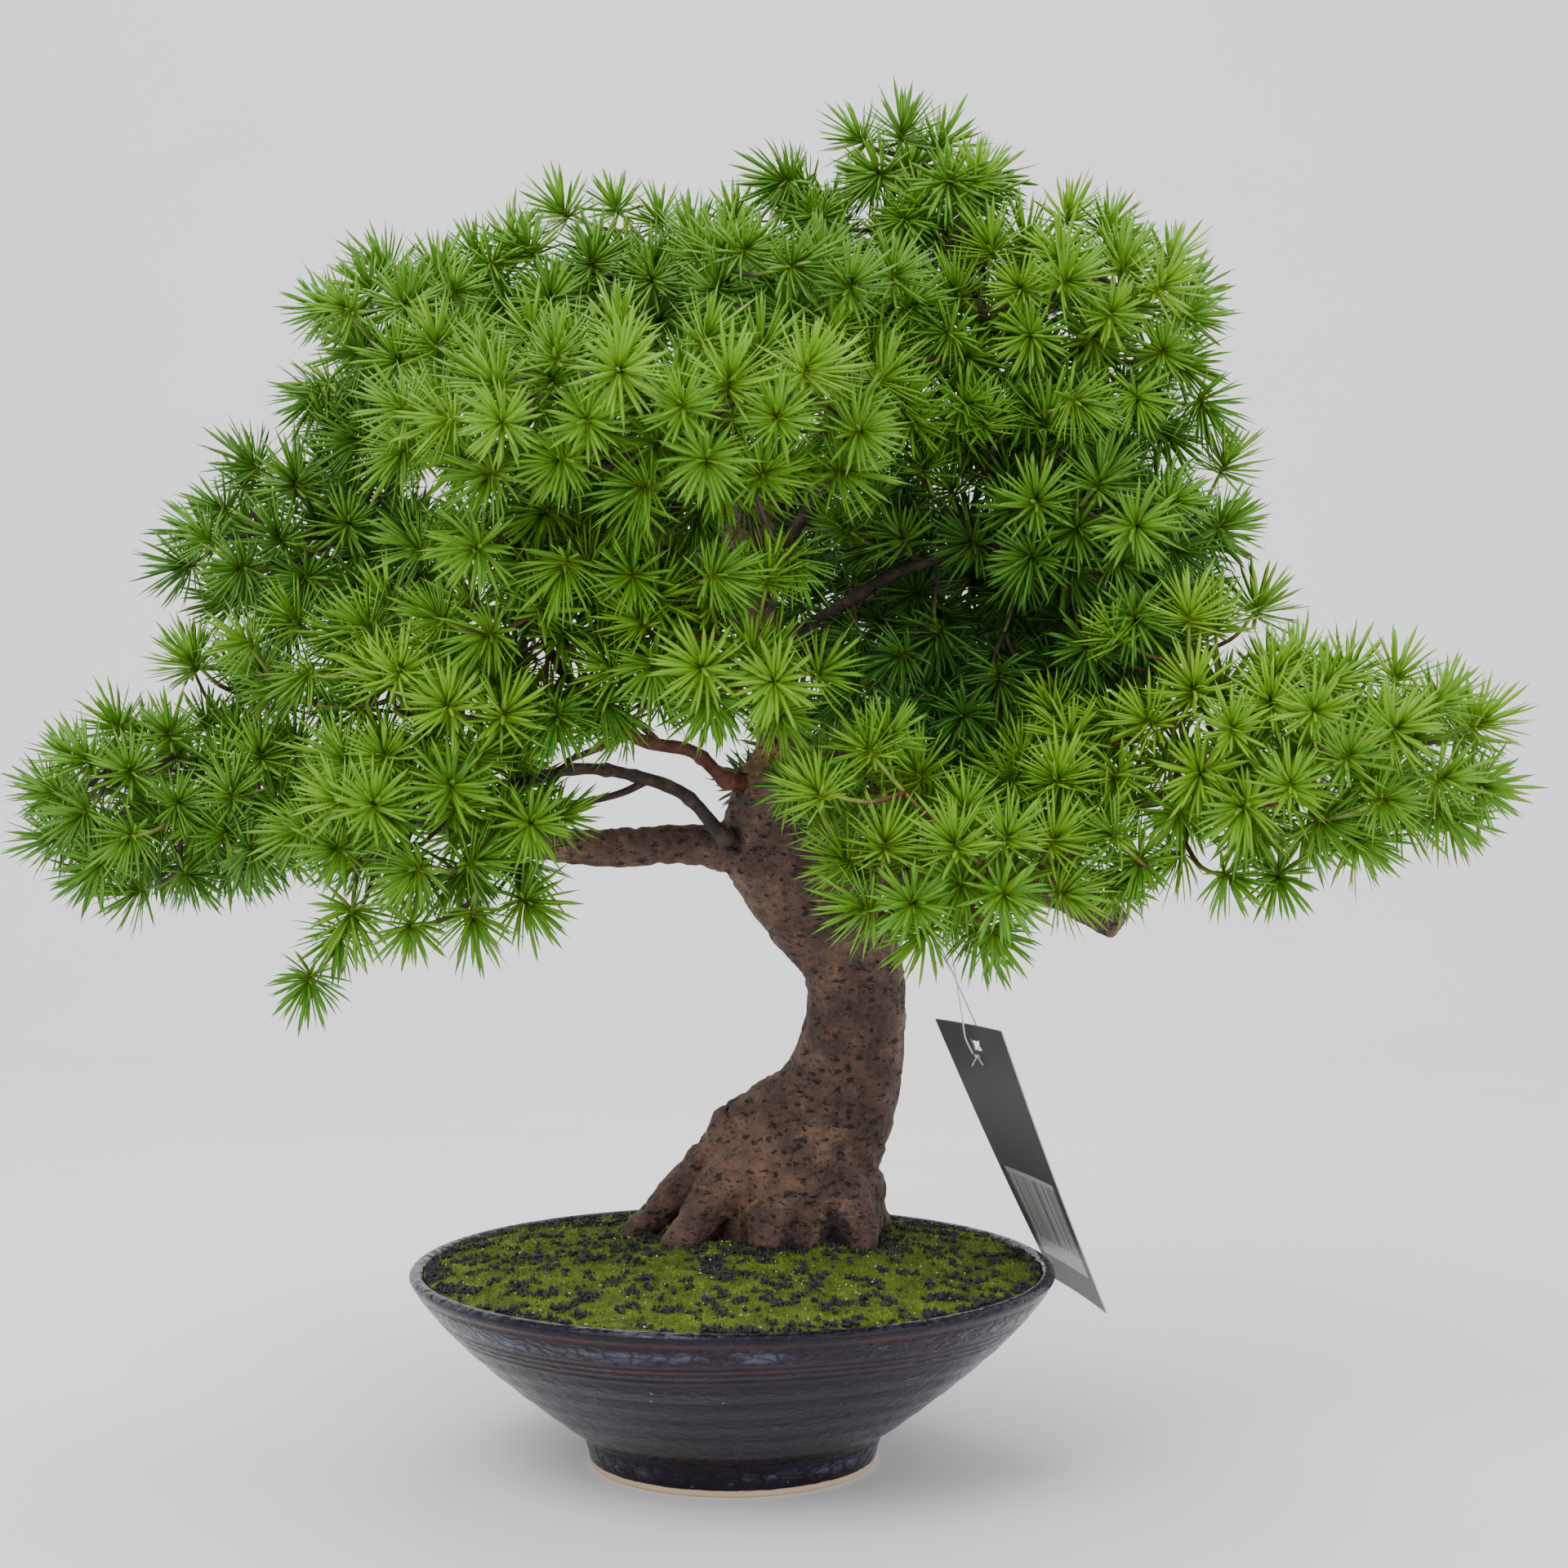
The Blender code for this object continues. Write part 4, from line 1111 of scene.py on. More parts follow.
# ---------------------------------------------------------------- the bowl
@dataclass
class GlazedBowl:
    """A thrown bowl with a flared side, a turned foot and a dark crawled glaze."""

    rim_radius: float = 0.1156
    height: float = 0.0700
    foot_radius: float = 0.0510
    foot_top_radius: float = 0.0538
    foot_height: float = 0.0110
    foot_ring: float = 0.0065
    recess: float = 0.0035
    flare_power: float = 1.3
    wall: float = 0.0050
    floor: float = 0.0065
    lip: float = 0.0022
    swells: tuple[float, ...] = (0.0165, 0.0235, 0.0310, 0.0385, 0.0460)
    fine_ridges: tuple[float, ...] = (0.0512, 0.0536, 0.0558)
    pale_bands: tuple[tuple[float, float, float], ...] = (
        (0.0610, 0.0034, 1.0), (0.0538, 0.0012, 0.45), (0.0460, 0.0022, 0.55), (0.0385, 0.0016, 0.35),
        (0.0310, 0.0020, 0.28), (0.0235, 0.0014, 0.20), (0.0070, 0.0030, 0.80))
    ridge_depth: float = 0.00055
    swell_reach: float = 0.0030
    ridge_reach: float = 0.0006
    ridge_pitch: float = 0.0012
    scratch: float = 0.0425
    lip_groove: float = 0.0652
    lip_groove_depth: float = 0.0005
    segments: int = 256

    def outer_radius(self, level: np.ndarray) -> np.ndarray:
        """The side's smooth outline, before the throwing marks.

        Args:
            level: Levels up the bowl's side.

        Returns:
            The radius at each level.
        """
        share = np.clip((level - self.foot_height) / (self.height - self.foot_height), 0.0, 1.0)
        flare = self.rim_radius - self.foot_top_radius
        return self.foot_top_radius + flare * (1 - (1 - share) ** self.flare_power)

    def throwing_marks(self, level: np.ndarray) -> np.ndarray:
        """How far the ridges and grooves stand out.

        Args:
            level: The levels up the bowl's side.

        Returns:
            The height of the marks at each level, as a share of the full depth.
        """
        marks = sum(bell(level, swell, self.swell_reach) for swell in self.swells)
        for ridge in self.fine_ridges:
            marks = marks + 0.45 * bell(level, ridge, self.ridge_reach)
            marks = marks - 0.55 * bell(level, ridge + self.ridge_pitch, 0.0005)
        return marks - 0.35 * bell(level, self.scratch, self.ridge_reach)

    def profile(self) -> tuple[np.ndarray, np.ndarray]:
        """The turned outline from the middle of the inside round to the middle of the foot.

        Returns:
            Radius and level of each point, and how strongly the throwing marks show there.
        """
        lip_base = self.height - self.lip
        inside = [(0.0, self.recess + self.floor), (0.03, self.recess + self.floor)]
        levels = np.linspace(self.recess + self.floor, lip_base, 14)
        inside += list(zip(self.outer_radius(levels) - self.wall, levels))
        lip_outer = float(self.outer_radius(np.array([lip_base]))[0])
        middle, half = lip_outer - self.wall / 2, self.wall / 2
        turn = np.radians(np.linspace(170.0, 8.0, 12))
        lip = list(zip(middle + half * np.cos(turn), lip_base + self.lip * np.sin(turn)))
        side = np.linspace(lip_base, self.foot_height, 112)
        outside = list(zip(self.outer_radius(side), side))
        waist = np.linspace(self.foot_height, 0.0008, 16)[1:]
        share = waist / self.foot_height
        foot = list(zip(self.foot_radius + (self.foot_top_radius - self.foot_radius) * share ** 1.6, waist))
        foot += [(self.foot_radius - 0.0003, 0.0002), (self.foot_radius - 0.0009, 0.0)]
        inner = self.foot_radius - self.foot_ring
        foot += [(inner + 0.0006, 0.0), (inner, 0.0004)]
        foot += [(inner - self.recess * 0.35, self.recess), (0.0, self.recess)]
        outline = np.array(inside + lip + outside + foot)
        strength = np.zeros(len(outline))
        start = len(inside) + len(lip)
        fade = np.clip((side - self.foot_height) / 0.004, 0.0, 1.0)
        fade = fade * np.clip((lip_base - side) / 0.004, 0.0, 1.0)
        strength[start:start + len(outside)] = fade
        return outline, strength

    def build(self) -> None:
        """Turns the bowl and glazes it."""
        outline, strength = self.profile()
        turn = around(self.segments)
        rings, bloom, groove = [], [], []
        is_outside = outline[:, 0] > self.outer_radius(outline[:, 1]) - self.wall * 0.5
        lip_line = bell(outline[:, 1], self.lip_groove, 0.0007) * is_outside
        for (radius, level), shown, line in zip(outline, strength, lip_line):
            drift = 0.0007 * np.sin(turn * 2 + 0.6) + 0.0004 * np.sin(turn * 5 + level * 90)
            marks = self.throwing_marks(level + drift) * shown
            wobble = 0.00025 * np.sin(3 * turn + level * 40) * min(shown * 3, 1.0)
            reach = radius + marks * self.ridge_depth + wobble - line * self.lip_groove_depth
            rings.append(np.stack([reach * np.cos(turn), reach * np.sin(turn), np.full_like(turn, level)], -1))
            pale = sum(share * bell(level + drift, middle, spread) for middle, spread, share in self.pale_bands)
            bloom.append(np.clip(pale + (0.7 if level > self.height - self.lip * 0.85 else 0.0), 0.0, 1.0))
            groove.append(np.clip(-marks * 1.5, 0.0, 0.8) + line)
        walls = np.roll(ring_walls(len(rings), self.segments), -1, axis=1)
        stock = MeshStock()
        stock.add(np.vstack(rings), [walls], bloom=np.concatenate(bloom), groove=np.concatenate(groove))
        piece = stock.make("glazed_bowl", [GlazeFinish().make()])
        body = bmesh.new()
        body.from_mesh(piece.data)
        bmesh.ops.remove_doubles(body, verts=body.verts, dist=1e-6)
        bmesh.ops.recalc_face_normals(body, faces=body.faces)
        body.to_mesh(piece.data)
        body.free()
        finish_piece(piece, "planted_bowl", ("bowl",))


# ---------------------------------------------------------------- what is inside the bowl
@dataclass
class Filling:
    """The hidden layers under the moss: cement, foam and soil, and the steel that holds the trunk."""

    cement: GrainFinish = GrainFinish(
        "cast cement", (0.20, 0.19, 0.175), (0.34, 0.33, 0.31), (0.46, 0.44, 0.41), 90.0, 0.88, 0.001, 0.3, 0.3)
    foam: GrainFinish = GrainFinish(
        "floral foam", (0.035, 0.075, 0.035), (0.075, 0.150, 0.070), (0.110, 0.200, 0.095), 420.0, 0.95,
        0.0008, 0.42, 0.9)
    soil: GrainFinish = GrainFinish(
        "soil granules", (0.006, 0.005, 0.004), (0.018, 0.014, 0.011), (0.045, 0.034, 0.025), 330.0, 0.93,
        0.0012, 0.4, 0.7)
    steel: GrainFinish = GrainFinish(
        "drawn steel", (0.30, 0.30, 0.31), (0.46, 0.46, 0.47), (0.58, 0.58, 0.59), 500.0, 0.36, 0.0001,
        metallic=1.0)

    def build(self) -> None:
        """Dresses the layers and the steel."""
        dress("cement_ballast", self.cement.make())
        dress("foam_block", self.foam.make())
        dress("soil_layer", self.soil.make())
        steel = self.steel.make()
        wires = [node for node in sorted(frame["nodes"]) if node.endswith("_wire")]
        for node in ("trunk_core_rod", "anchor_plate", *wires):
            dress(node, steel)


@dataclass(frozen=True)
class Lumps:
    """A kind of small lump that is strewn over the moss.

    The radius runs from smallest to largest. A lump lies only where the mat is more crumbly than the
    threshold, with the share of its radius that sink gives under the mat's surface.
    """

    finish: GrainFinish
    count: int
    smallest: float
    largest: float
    threshold: float
    sink: float


@dataclass
class MossMat:
    """A flocked mat with raised tufts, dark crumbs and pale specks whose paleness is a painted glint."""

    radius: float = 0.1096
    edge_level: float = 0.0690
    rise: float = 0.0045
    thickness: float = 0.0050
    rings: int = 84
    segments: int = 320
    fibre_count: int = 26000
    fibre_length: float = 0.0019
    fibre_radius: float = 0.00024
    seed: int = 11
    root_middle: tuple[float, float] = (0.019, 0.040)
    level_waves: tuple[Wave, ...] = (Wave(0.0011, 0.0100, 3.0), Wave(0.0009, 0.0038, 8.0))
    crumb_waves: tuple[Wave, ...] = (Wave(0.5, 0.0110, 21.0), Wave(0.9, 0.0048, 31.0), Wave(0.5, 0.0021, 5.0))
    moss: MossFinish = MossFinish("moss flock")
    crumbs: Lumps = Lumps(
        GrainFinish("dark crumbs", (0.008, 0.008, 0.012), (0.018, 0.017, 0.025), (0.044, 0.042, 0.056), 900.0,
                    0.7, 0.0006), 6500, 0.00035, 0.00125, 0.24, 0.20)
    # Pale specks: the real specks glint, and their pale colour is a painted glint.
    specks: Lumps = Lumps(
        GrainFinish("glinting specks", (0.45, 0.42, 0.20), (0.70, 0.68, 0.42), (0.85, 0.85, 0.75), 400.0,
                    0.25, 0.0001), 700, 0.00016, 0.00040, -0.7, -1.2)

    def level(self, places: np.ndarray) -> np.ndarray:
        """The mat's lumpy height.

        Args:
            places: Places on the mat, one a row.

        Returns:
            The height at each place.
        """
        away = np.linalg.norm(places, axis=1) / self.radius
        flat = np.column_stack([places, np.zeros(len(places))])
        lumps = waves(flat, self.level_waves)
        return self.edge_level + self.rise * (1 - away ** 2) + lumps * np.clip((1.02 - away) * 12, 0.25, 1.0)

    def crumbliness(self, places: np.ndarray) -> np.ndarray:
        """How thick the crumbs lie: in clusters, and more at the rim and by the roots.

        Args:
            places: Places on the mat, one a row.

        Returns:
            A number for each place, higher where there are more crumbs.
        """
        flat = np.column_stack([places, np.zeros(len(places))])
        away = np.linalg.norm(places, axis=1) / self.radius
        from_roots = np.linalg.norm(places - self.root_middle, axis=1)
        by_rim = 0.5 * np.clip((away - 0.93) / 0.06, 0, 1)
        by_roots = 0.5 * np.clip((0.050 - from_roots) / 0.02, 0, 1)
        return waves(flat, self.crumb_waves) + by_rim + by_roots

    def scatter(self, rng: np.random.Generator, count: int) -> np.ndarray:
        """Places spread evenly over the mat.

        Args:
            rng: The source of chance.
            count: How many there are.

        Returns:
            The places, one a row.
        """
        reach = self.radius * 0.992 * np.sqrt(rng.random(count))
        turn = rng.random(count) * 2 * math.pi
        return np.stack([reach * np.cos(turn), reach * np.sin(turn)], -1)

    def add_mat(self, stock: MeshStock, trunk: BVHTree) -> None:
        """The lumpy mat itself, open where the trunk and roots come through.

        Args:
            stock: What the mat is added to.
            trunk: The trunk's surface.
        """
        reach = self.radius * np.linspace(0.0, 1.0, self.rings + 1)[1:]
        turn = around(self.segments)
        places = np.stack([np.outer(reach, np.cos(turn)).ravel(), np.outer(reach, np.sin(turn)).ravel()], -1)
        top = np.column_stack([places, self.level(places)])
        skirt = top[-self.segments:].copy()
        skirt[:, 2] = self.edge_level - self.thickness
        points = np.vstack([top, skirt])
        quads = np.roll(ring_walls(self.rings + 1, self.segments)[:, ::-1], 1, axis=1)
        open_sky = np.array([not inside(trunk, middle) for middle in points[quads].mean(axis=1)])
        crumbs = np.append(np.clip(self.crumbliness(places) * 2.0 - 0.3, 0, 1), np.ones(self.segments))
        stock.add(points, [quads[open_sky]], crumb=crumbs, tone=np.full(len(points), 0.4))

    def add_fibres(self, stock: MeshStock, rng: np.random.Generator, trunk: BVHTree) -> None:
        """Short upright fibres that make the flock.

        Args:
            stock: What the fibres are added to.
            rng: The source of chance.
            trunk: The trunk's surface.
        """
        places = self.scatter(rng, self.fibre_count)
        places = places[self.crumbliness(places) < 0.28 + 0.5 * rng.random(len(places))]
        roots = np.column_stack([places, self.level(places) - 0.0003])
        roots = roots[[not inside(trunk, root) for root in roots]]
        count = len(roots)
        lean = np.column_stack([rng.normal(0, 0.6, (count, 2)), np.ones(count)])
        tips = roots + unit(lean) * (self.fibre_length * rng.uniform(0.4, 1.25, count))[:, None]
        turn = rng.random(count) * 2 * math.pi
        points = []
        for corner in range(3):
            angle = turn + corner * 2 * math.pi / 3
            ring = np.stack([np.cos(angle), np.sin(angle), np.zeros(count)], -1)
            points.append(roots + self.fibre_radius * ring)
        points = np.stack([*points, tips], 1).reshape(-1, 3)
        first = np.arange(count)[:, None] * 4
        faces = np.vstack([first + (0, 1, 3), first + (1, 2, 3), first + (2, 0, 3)])
        tone = np.repeat(rng.random(count) ** 1.3, 4)
        tone[3::4] = np.minimum(tone[3::4] + 0.3, 1.0)
        stock.add(points, [faces], tone=tone)

    def add_lumps(self, stock: MeshStock, rng: np.random.Generator, trunk: BVHTree, kind: Lumps,
                  finish: int) -> None:
        """Small eight-sided lumps, thickest where the mat is crumbly.

        Args:
            stock: What the lumps are added to.
            rng: The source of chance.
            trunk: The trunk's surface.
            kind: The kind of lump.
            finish: The number of their material.
        """
        places = self.scatter(rng, kind.count * 5)
        places = places[self.crumbliness(places) > kind.threshold][:kind.count]
        size = kind.smallest + (kind.largest - kind.smallest) * rng.random(len(places)) ** 2.2
        places = np.column_stack([places, self.level(places) + size * (1 - kind.sink)])
        kept = [np.linalg.norm(place[:2]) + extent < self.radius and not inside(trunk, place)
                for place, extent in zip(places, size)]
        places, size = places[kept], size[kept]
        tips = np.vstack([np.eye(3), -np.eye(3)])
        turned = np.array([np.linalg.qr(spin)[0] for spin in rng.normal(0, 1, (len(places), 3, 3))])
        shapes = (tips @ turned) * rng.uniform(0.75, 1.35, (len(places), 6, 1)) * size[:, None, None]
        cells = np.array([(0, 1, 2), (1, 3, 2), (3, 4, 2), (4, 0, 2),
                          (1, 0, 5), (3, 1, 5), (4, 3, 5), (0, 4, 5)])
        faces = (np.arange(len(places))[:, None, None] * 6 + cells).reshape(-1, 3)
        stock.add((shapes + places[:, None]).reshape(-1, 3), [faces], finish)

    def build(self, trunk: BVHTree) -> None:
        """Builds the mat with its fibres, crumbs and specks.

        Args:
            trunk: The trunk's surface, which the mat is open for.
        """
        rng = np.random.default_rng(self.seed)
        stock = MeshStock()
        self.add_mat(stock, trunk)
        self.add_fibres(stock, rng, trunk)
        finishes = [self.moss.make()]
        for finish, kind in enumerate((self.crumbs, self.specks), 1):
            self.add_lumps(stock, rng, trunk, kind, finish)
            finishes.append(kind.finish.make())
        piece = stock.make("moss_flock", finishes, smooth=False)
        finish_piece(piece, "planted_bowl", ("moss_mat",))


def inside(surface: BVHTree, point: np.ndarray) -> bool:
    """Whether a point is inside a closed surface that is near it."""
    place, normal, _, away = surface.find_nearest(Vector(point), 0.05)
    return place is not None and (Vector(point) - place).dot(normal) < 0 and away > 0.0002


# ---------------------------------------------------------------- the trunk
@dataclass(frozen=True)
class Swelling:
    """A lump, or with a negative rise a hollow, on the trunk."""

    centre: Point
    reach: float
    rise: float


@dataclass
class Trunk:
    """The moulded trunk with its roots and limbs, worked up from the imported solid."""

    grain_size: float = 0.00115
    smoothing: int = 9
    lump_depths: tuple[tuple[float, float, float], ...] = (
        (0.0200, 0.00120, 5.0), (0.0085, 0.00080, 14.0), (0.0042, 0.00075, 27.0))
    swellings: tuple[Swelling, ...] = (
        Swelling((-0.0010, 0.0380, 0.1160), 0.0130, 0.0042),
        Swelling((0.0080, 0.0200, 0.1000), 0.0090, 0.0018),
        Swelling((0.0420, 0.0300, 0.0900), 0.0100, 0.0020),
        Swelling((0.0300, 0.0180, 0.0840), 0.0070, -0.0022),
        Swelling((0.0180, 0.0100, 0.1900), 0.0080, 0.0012),
        Swelling((0.0480, 0.0300, 0.1750), 0.0070, 0.0012),
    )
    bark: BarkFinish = BarkFinish(
        "moulded trunk bark", (0.062, 0.036, 0.029), (0.138, 0.076, 0.056), (0.240, 0.136, 0.092),
        (0.014, 0.010, 0.011), pit_share=0.8, relief=0.0020, spots=(
            Spot((0.0100, 0.0035, 0.2490), 0.0085, (0.360, 0.215, 0.085)),
            Spot((0.1360, -0.0100, 0.1915), 0.0040, (0.240, 0.140, 0.080)),
            # Tan spot on the root flare: a painted pool of light where the flare is lit.
            Spot((0.0060, 0.0330, 0.0960), 0.0240, (0.235, 0.130, 0.086)),
            Spot((0.0003, 0.0094, 0.2210), 0.0060, (0.040, 0.036, 0.038)),
            # Dark spot by the hollow at the front right of the foot: a painted shadow.
            Spot((0.0400, 0.0200, 0.0760), 0.0130, (0.030, 0.020, 0.018))))

    def build(self) -> BVHTree:
        """Shapes and paints the trunk.

        Returns:
            Its surface, for what lies round it.
        """
        rough = place_in_scene("rough_trunk", frame["nodes"]["trunk"].data.copy())
        remesh = rough.modifiers.new("even_grid", "REMESH")
        remesh.mode = "VOXEL"
        remesh.voxel_size = self.grain_size
        smooth = rough.modifiers.new("round_over", "SMOOTH")
        smooth.factor = 0.5
        smooth.iterations = self.smoothing
        bpy.context.view_layer.update()
        mesh = bpy.data.meshes.new_from_object(rough.evaluated_get(bpy.context.evaluated_depsgraph_get()))
        bpy.data.objects.remove(rough)
        mesh.name = "bark_trunk"
        count = len(mesh.vertices)
        points, normals = np.zeros(count * 3, np.float32), np.zeros(count * 3, np.float32)
        mesh.vertices.foreach_get("co", points)
        mesh.vertices.foreach_get("normal", normals)
        points, normals = points.reshape(-1, 3).astype(float), normals.reshape(-1, 3)
        out = np.zeros(count)
        for size, depth, seed in self.lump_depths:
            wave = ripple(points * (1.0, 1.0, 0.8), size, seed)
            out += depth * (wave if size > 0.01 else 1 - 2 * np.abs(wave))
        for swelling in self.swellings:
            away = np.linalg.norm(points - swelling.centre, axis=1) / swelling.reach
            out += swelling.rise * np.clip(1 - away ** 2, 0, 1) ** 1.5
        mesh.vertices.foreach_set("co", (points + normals * out[:, None]).astype(np.float32).ravel())
        mesh.update()
        mesh.polygons.foreach_set("use_smooth", np.ones(len(mesh.polygons), bool))
        mesh.materials.clear()
        mesh.materials.append(self.bark.make())
        finish_piece(place_in_scene("bark_trunk", mesh), "planted_bowl", ("trunk",))
        return BVHTree.FromPolygons([vertex.co for vertex in mesh.vertices],
                                    [tuple(face.vertices) for face in mesh.polygons])


# ---------------------------------------------------------------- branches
class Bark(Enum):
    """The two colours that stems are moulded in."""

    BROWN = "stem_brown"
    RED = "stem_red_brown"


class Leaf(Enum):
    """The three shades of needle: lit, mid and shaded copies of one green, as painted light and shade."""

    BRIGHT = "needle_bright"
    MID = "needle_mid"
    DARK = "needle_dark"


STEM_FINISHES = {
    Bark.BROWN: BarkFinish("brown stem", (0.020, 0.013, 0.010), (0.058, 0.034, 0.024), (0.125, 0.078, 0.052),
                           (0.012, 0.009, 0.008), 2.2, 0.35, 0.0006, 0.6),
    Bark.RED: BarkFinish("reddish stem", (0.050, 0.016, 0.011), (0.135, 0.040, 0.025), (0.230, 0.085, 0.050),
                         (0.022, 0.010, 0.009), 2.2, 0.25, 0.0005, 0.55),
}
TWIG_FINISHES = {
    Bark.BROWN: TwigFinish("brown twigs", (0.070, 0.042, 0.026)),
    Bark.RED: TwigFinish("reddish twigs", (0.150, 0.050, 0.030)),
}
# Lit, mid and shaded copies of the needle green: painted light and shade.
NEEDLE_FINISHES = {
    Leaf.BRIGHT: NeedleFinish("bright needles", bright=(0.255, 0.485, 0.026), shaded=(0.062, 0.215, 0.018),
                              heart=(0.460, 0.640, 0.040)),
    Leaf.MID: NeedleFinish("mid green needles", bright=(0.190, 0.410, 0.028), shaded=(0.040, 0.155, 0.020),
                           heart=(0.350, 0.520, 0.036)),
    Leaf.DARK: NeedleFinish("dark needles", bright=(0.090, 0.240, 0.026), shaded=(0.021, 0.088, 0.016),
                            heart=(0.160, 0.290, 0.030)),
}


@dataclass
class Needles:
    """How one sprig's burst of needles is made."""

    count: int = 48
    length: float = 0.0174
    width: float = 0.00155
    thickness: float = 0.00045
    closed_angle: float = 8.0
    open_angle: float = 104.0
    droop: float = 0.05
    stations: tuple[float, ...] = (0.0, 0.32, 0.76)
    widths: tuple[float, ...] = (0.55, 1.0, 0.82)

    def grow(self, stock: MeshStock, rng: np.random.Generator, centres: np.ndarray, axes: np.ndarray,
             sizes: np.ndarray, tones: np.ndarray) -> None:
        """Adds a burst of needles at each sprig's end.

        Args:
            stock: What the needles are added to.
            rng: The source of chance.
            centres: Where each sprig ends.
            axes: The way each sprig points.
            sizes: How large each burst is, as a share of the usual.
            tones: How lit each burst is, from 0 to 1: painted light and shade, with some chance.
        """
        number = len(centres)
        step = (np.arange(self.count) + 0.5) / self.count
        level = np.cos(math.radians(self.closed_angle)) + (math.cos(math.radians(self.open_angle)) - 1.0) * step
        level = np.clip(level + rng.normal(0, 0.035, (number, self.count)), -0.35, 0.995)
        turn = np.arange(self.count) * GOLDEN_TURN + rng.uniform(0, 6.28, (number, 1))
        turn = turn + rng.normal(0, 0.12, level.shape)
        axes = unit(axes)[:, None]
        side = unit(np.cross(axes, unit(rng.normal(0, 1, (number, 1, 3)))))
        other = np.cross(axes, side)
        slope = np.sqrt(1 - level ** 2)[..., None]
        sideways = np.cos(turn)[..., None] * side + np.sin(turn)[..., None] * other
        heading = axes * level[..., None] + sideways * slope
        length = self.length * sizes[:, None] * rng.uniform(0.86, 1.07, level.shape)
        length = length * (1 - 0.10 * (level < 0.05))
        foot = centres[:, None] + axes * (0.0030 * (level - 0.9))[..., None]
        across = unit(np.cross(heading, axes) + 0.30 * rng.normal(0, 1, heading.shape))
        across = unit(across - heading * (across * heading).sum(-1, keepdims=True))
        under = np.cross(across, heading)
        bend = axes * rng.uniform(0.04, 0.20, level.shape)[..., None] + rng.normal(0, 0.05, heading.shape)
        bend[..., 2] -= self.droop
        rings = []
        for station, share in zip(self.stations, self.widths):
            middle = foot + (heading * station + bend * station ** 2) * length[..., None]
            half = self.width * share / 2 * sizes[:, None, None]
            rings += [middle - across * half, middle + across * half, middle + under * self.thickness * share]
        rings.append(foot + (heading + bend) * length[..., None])
        points = np.stack(rings, axis=2)
        per = points.shape[2]
        first = np.arange(number * self.count)[:, None] * per
        last = 3 * (len(self.stations) - 1)
        edges = ((0, 1), (1, 2), (2, 0))
        walls = [first + (low + a, low + b, low + 3 + b, low + 3 + a)
                 for low in range(0, last, 3) for a, b in edges]
        tips = [first + (last + a, last + b, per - 1) for a, b in edges] + [first + (0, 2, 1)]
        along = np.tile(np.append(np.repeat(self.stations, 3), 1.0), number * self.count)
        tone = np.clip(tones[:, None] + rng.normal(0, 0.09, level.shape), 0, 1)
        stock.add(points.reshape(-1, 3), [np.vstack(walls), np.vstack(tips)], along=along,
                  tone=np.repeat(tone.ravel(), per))


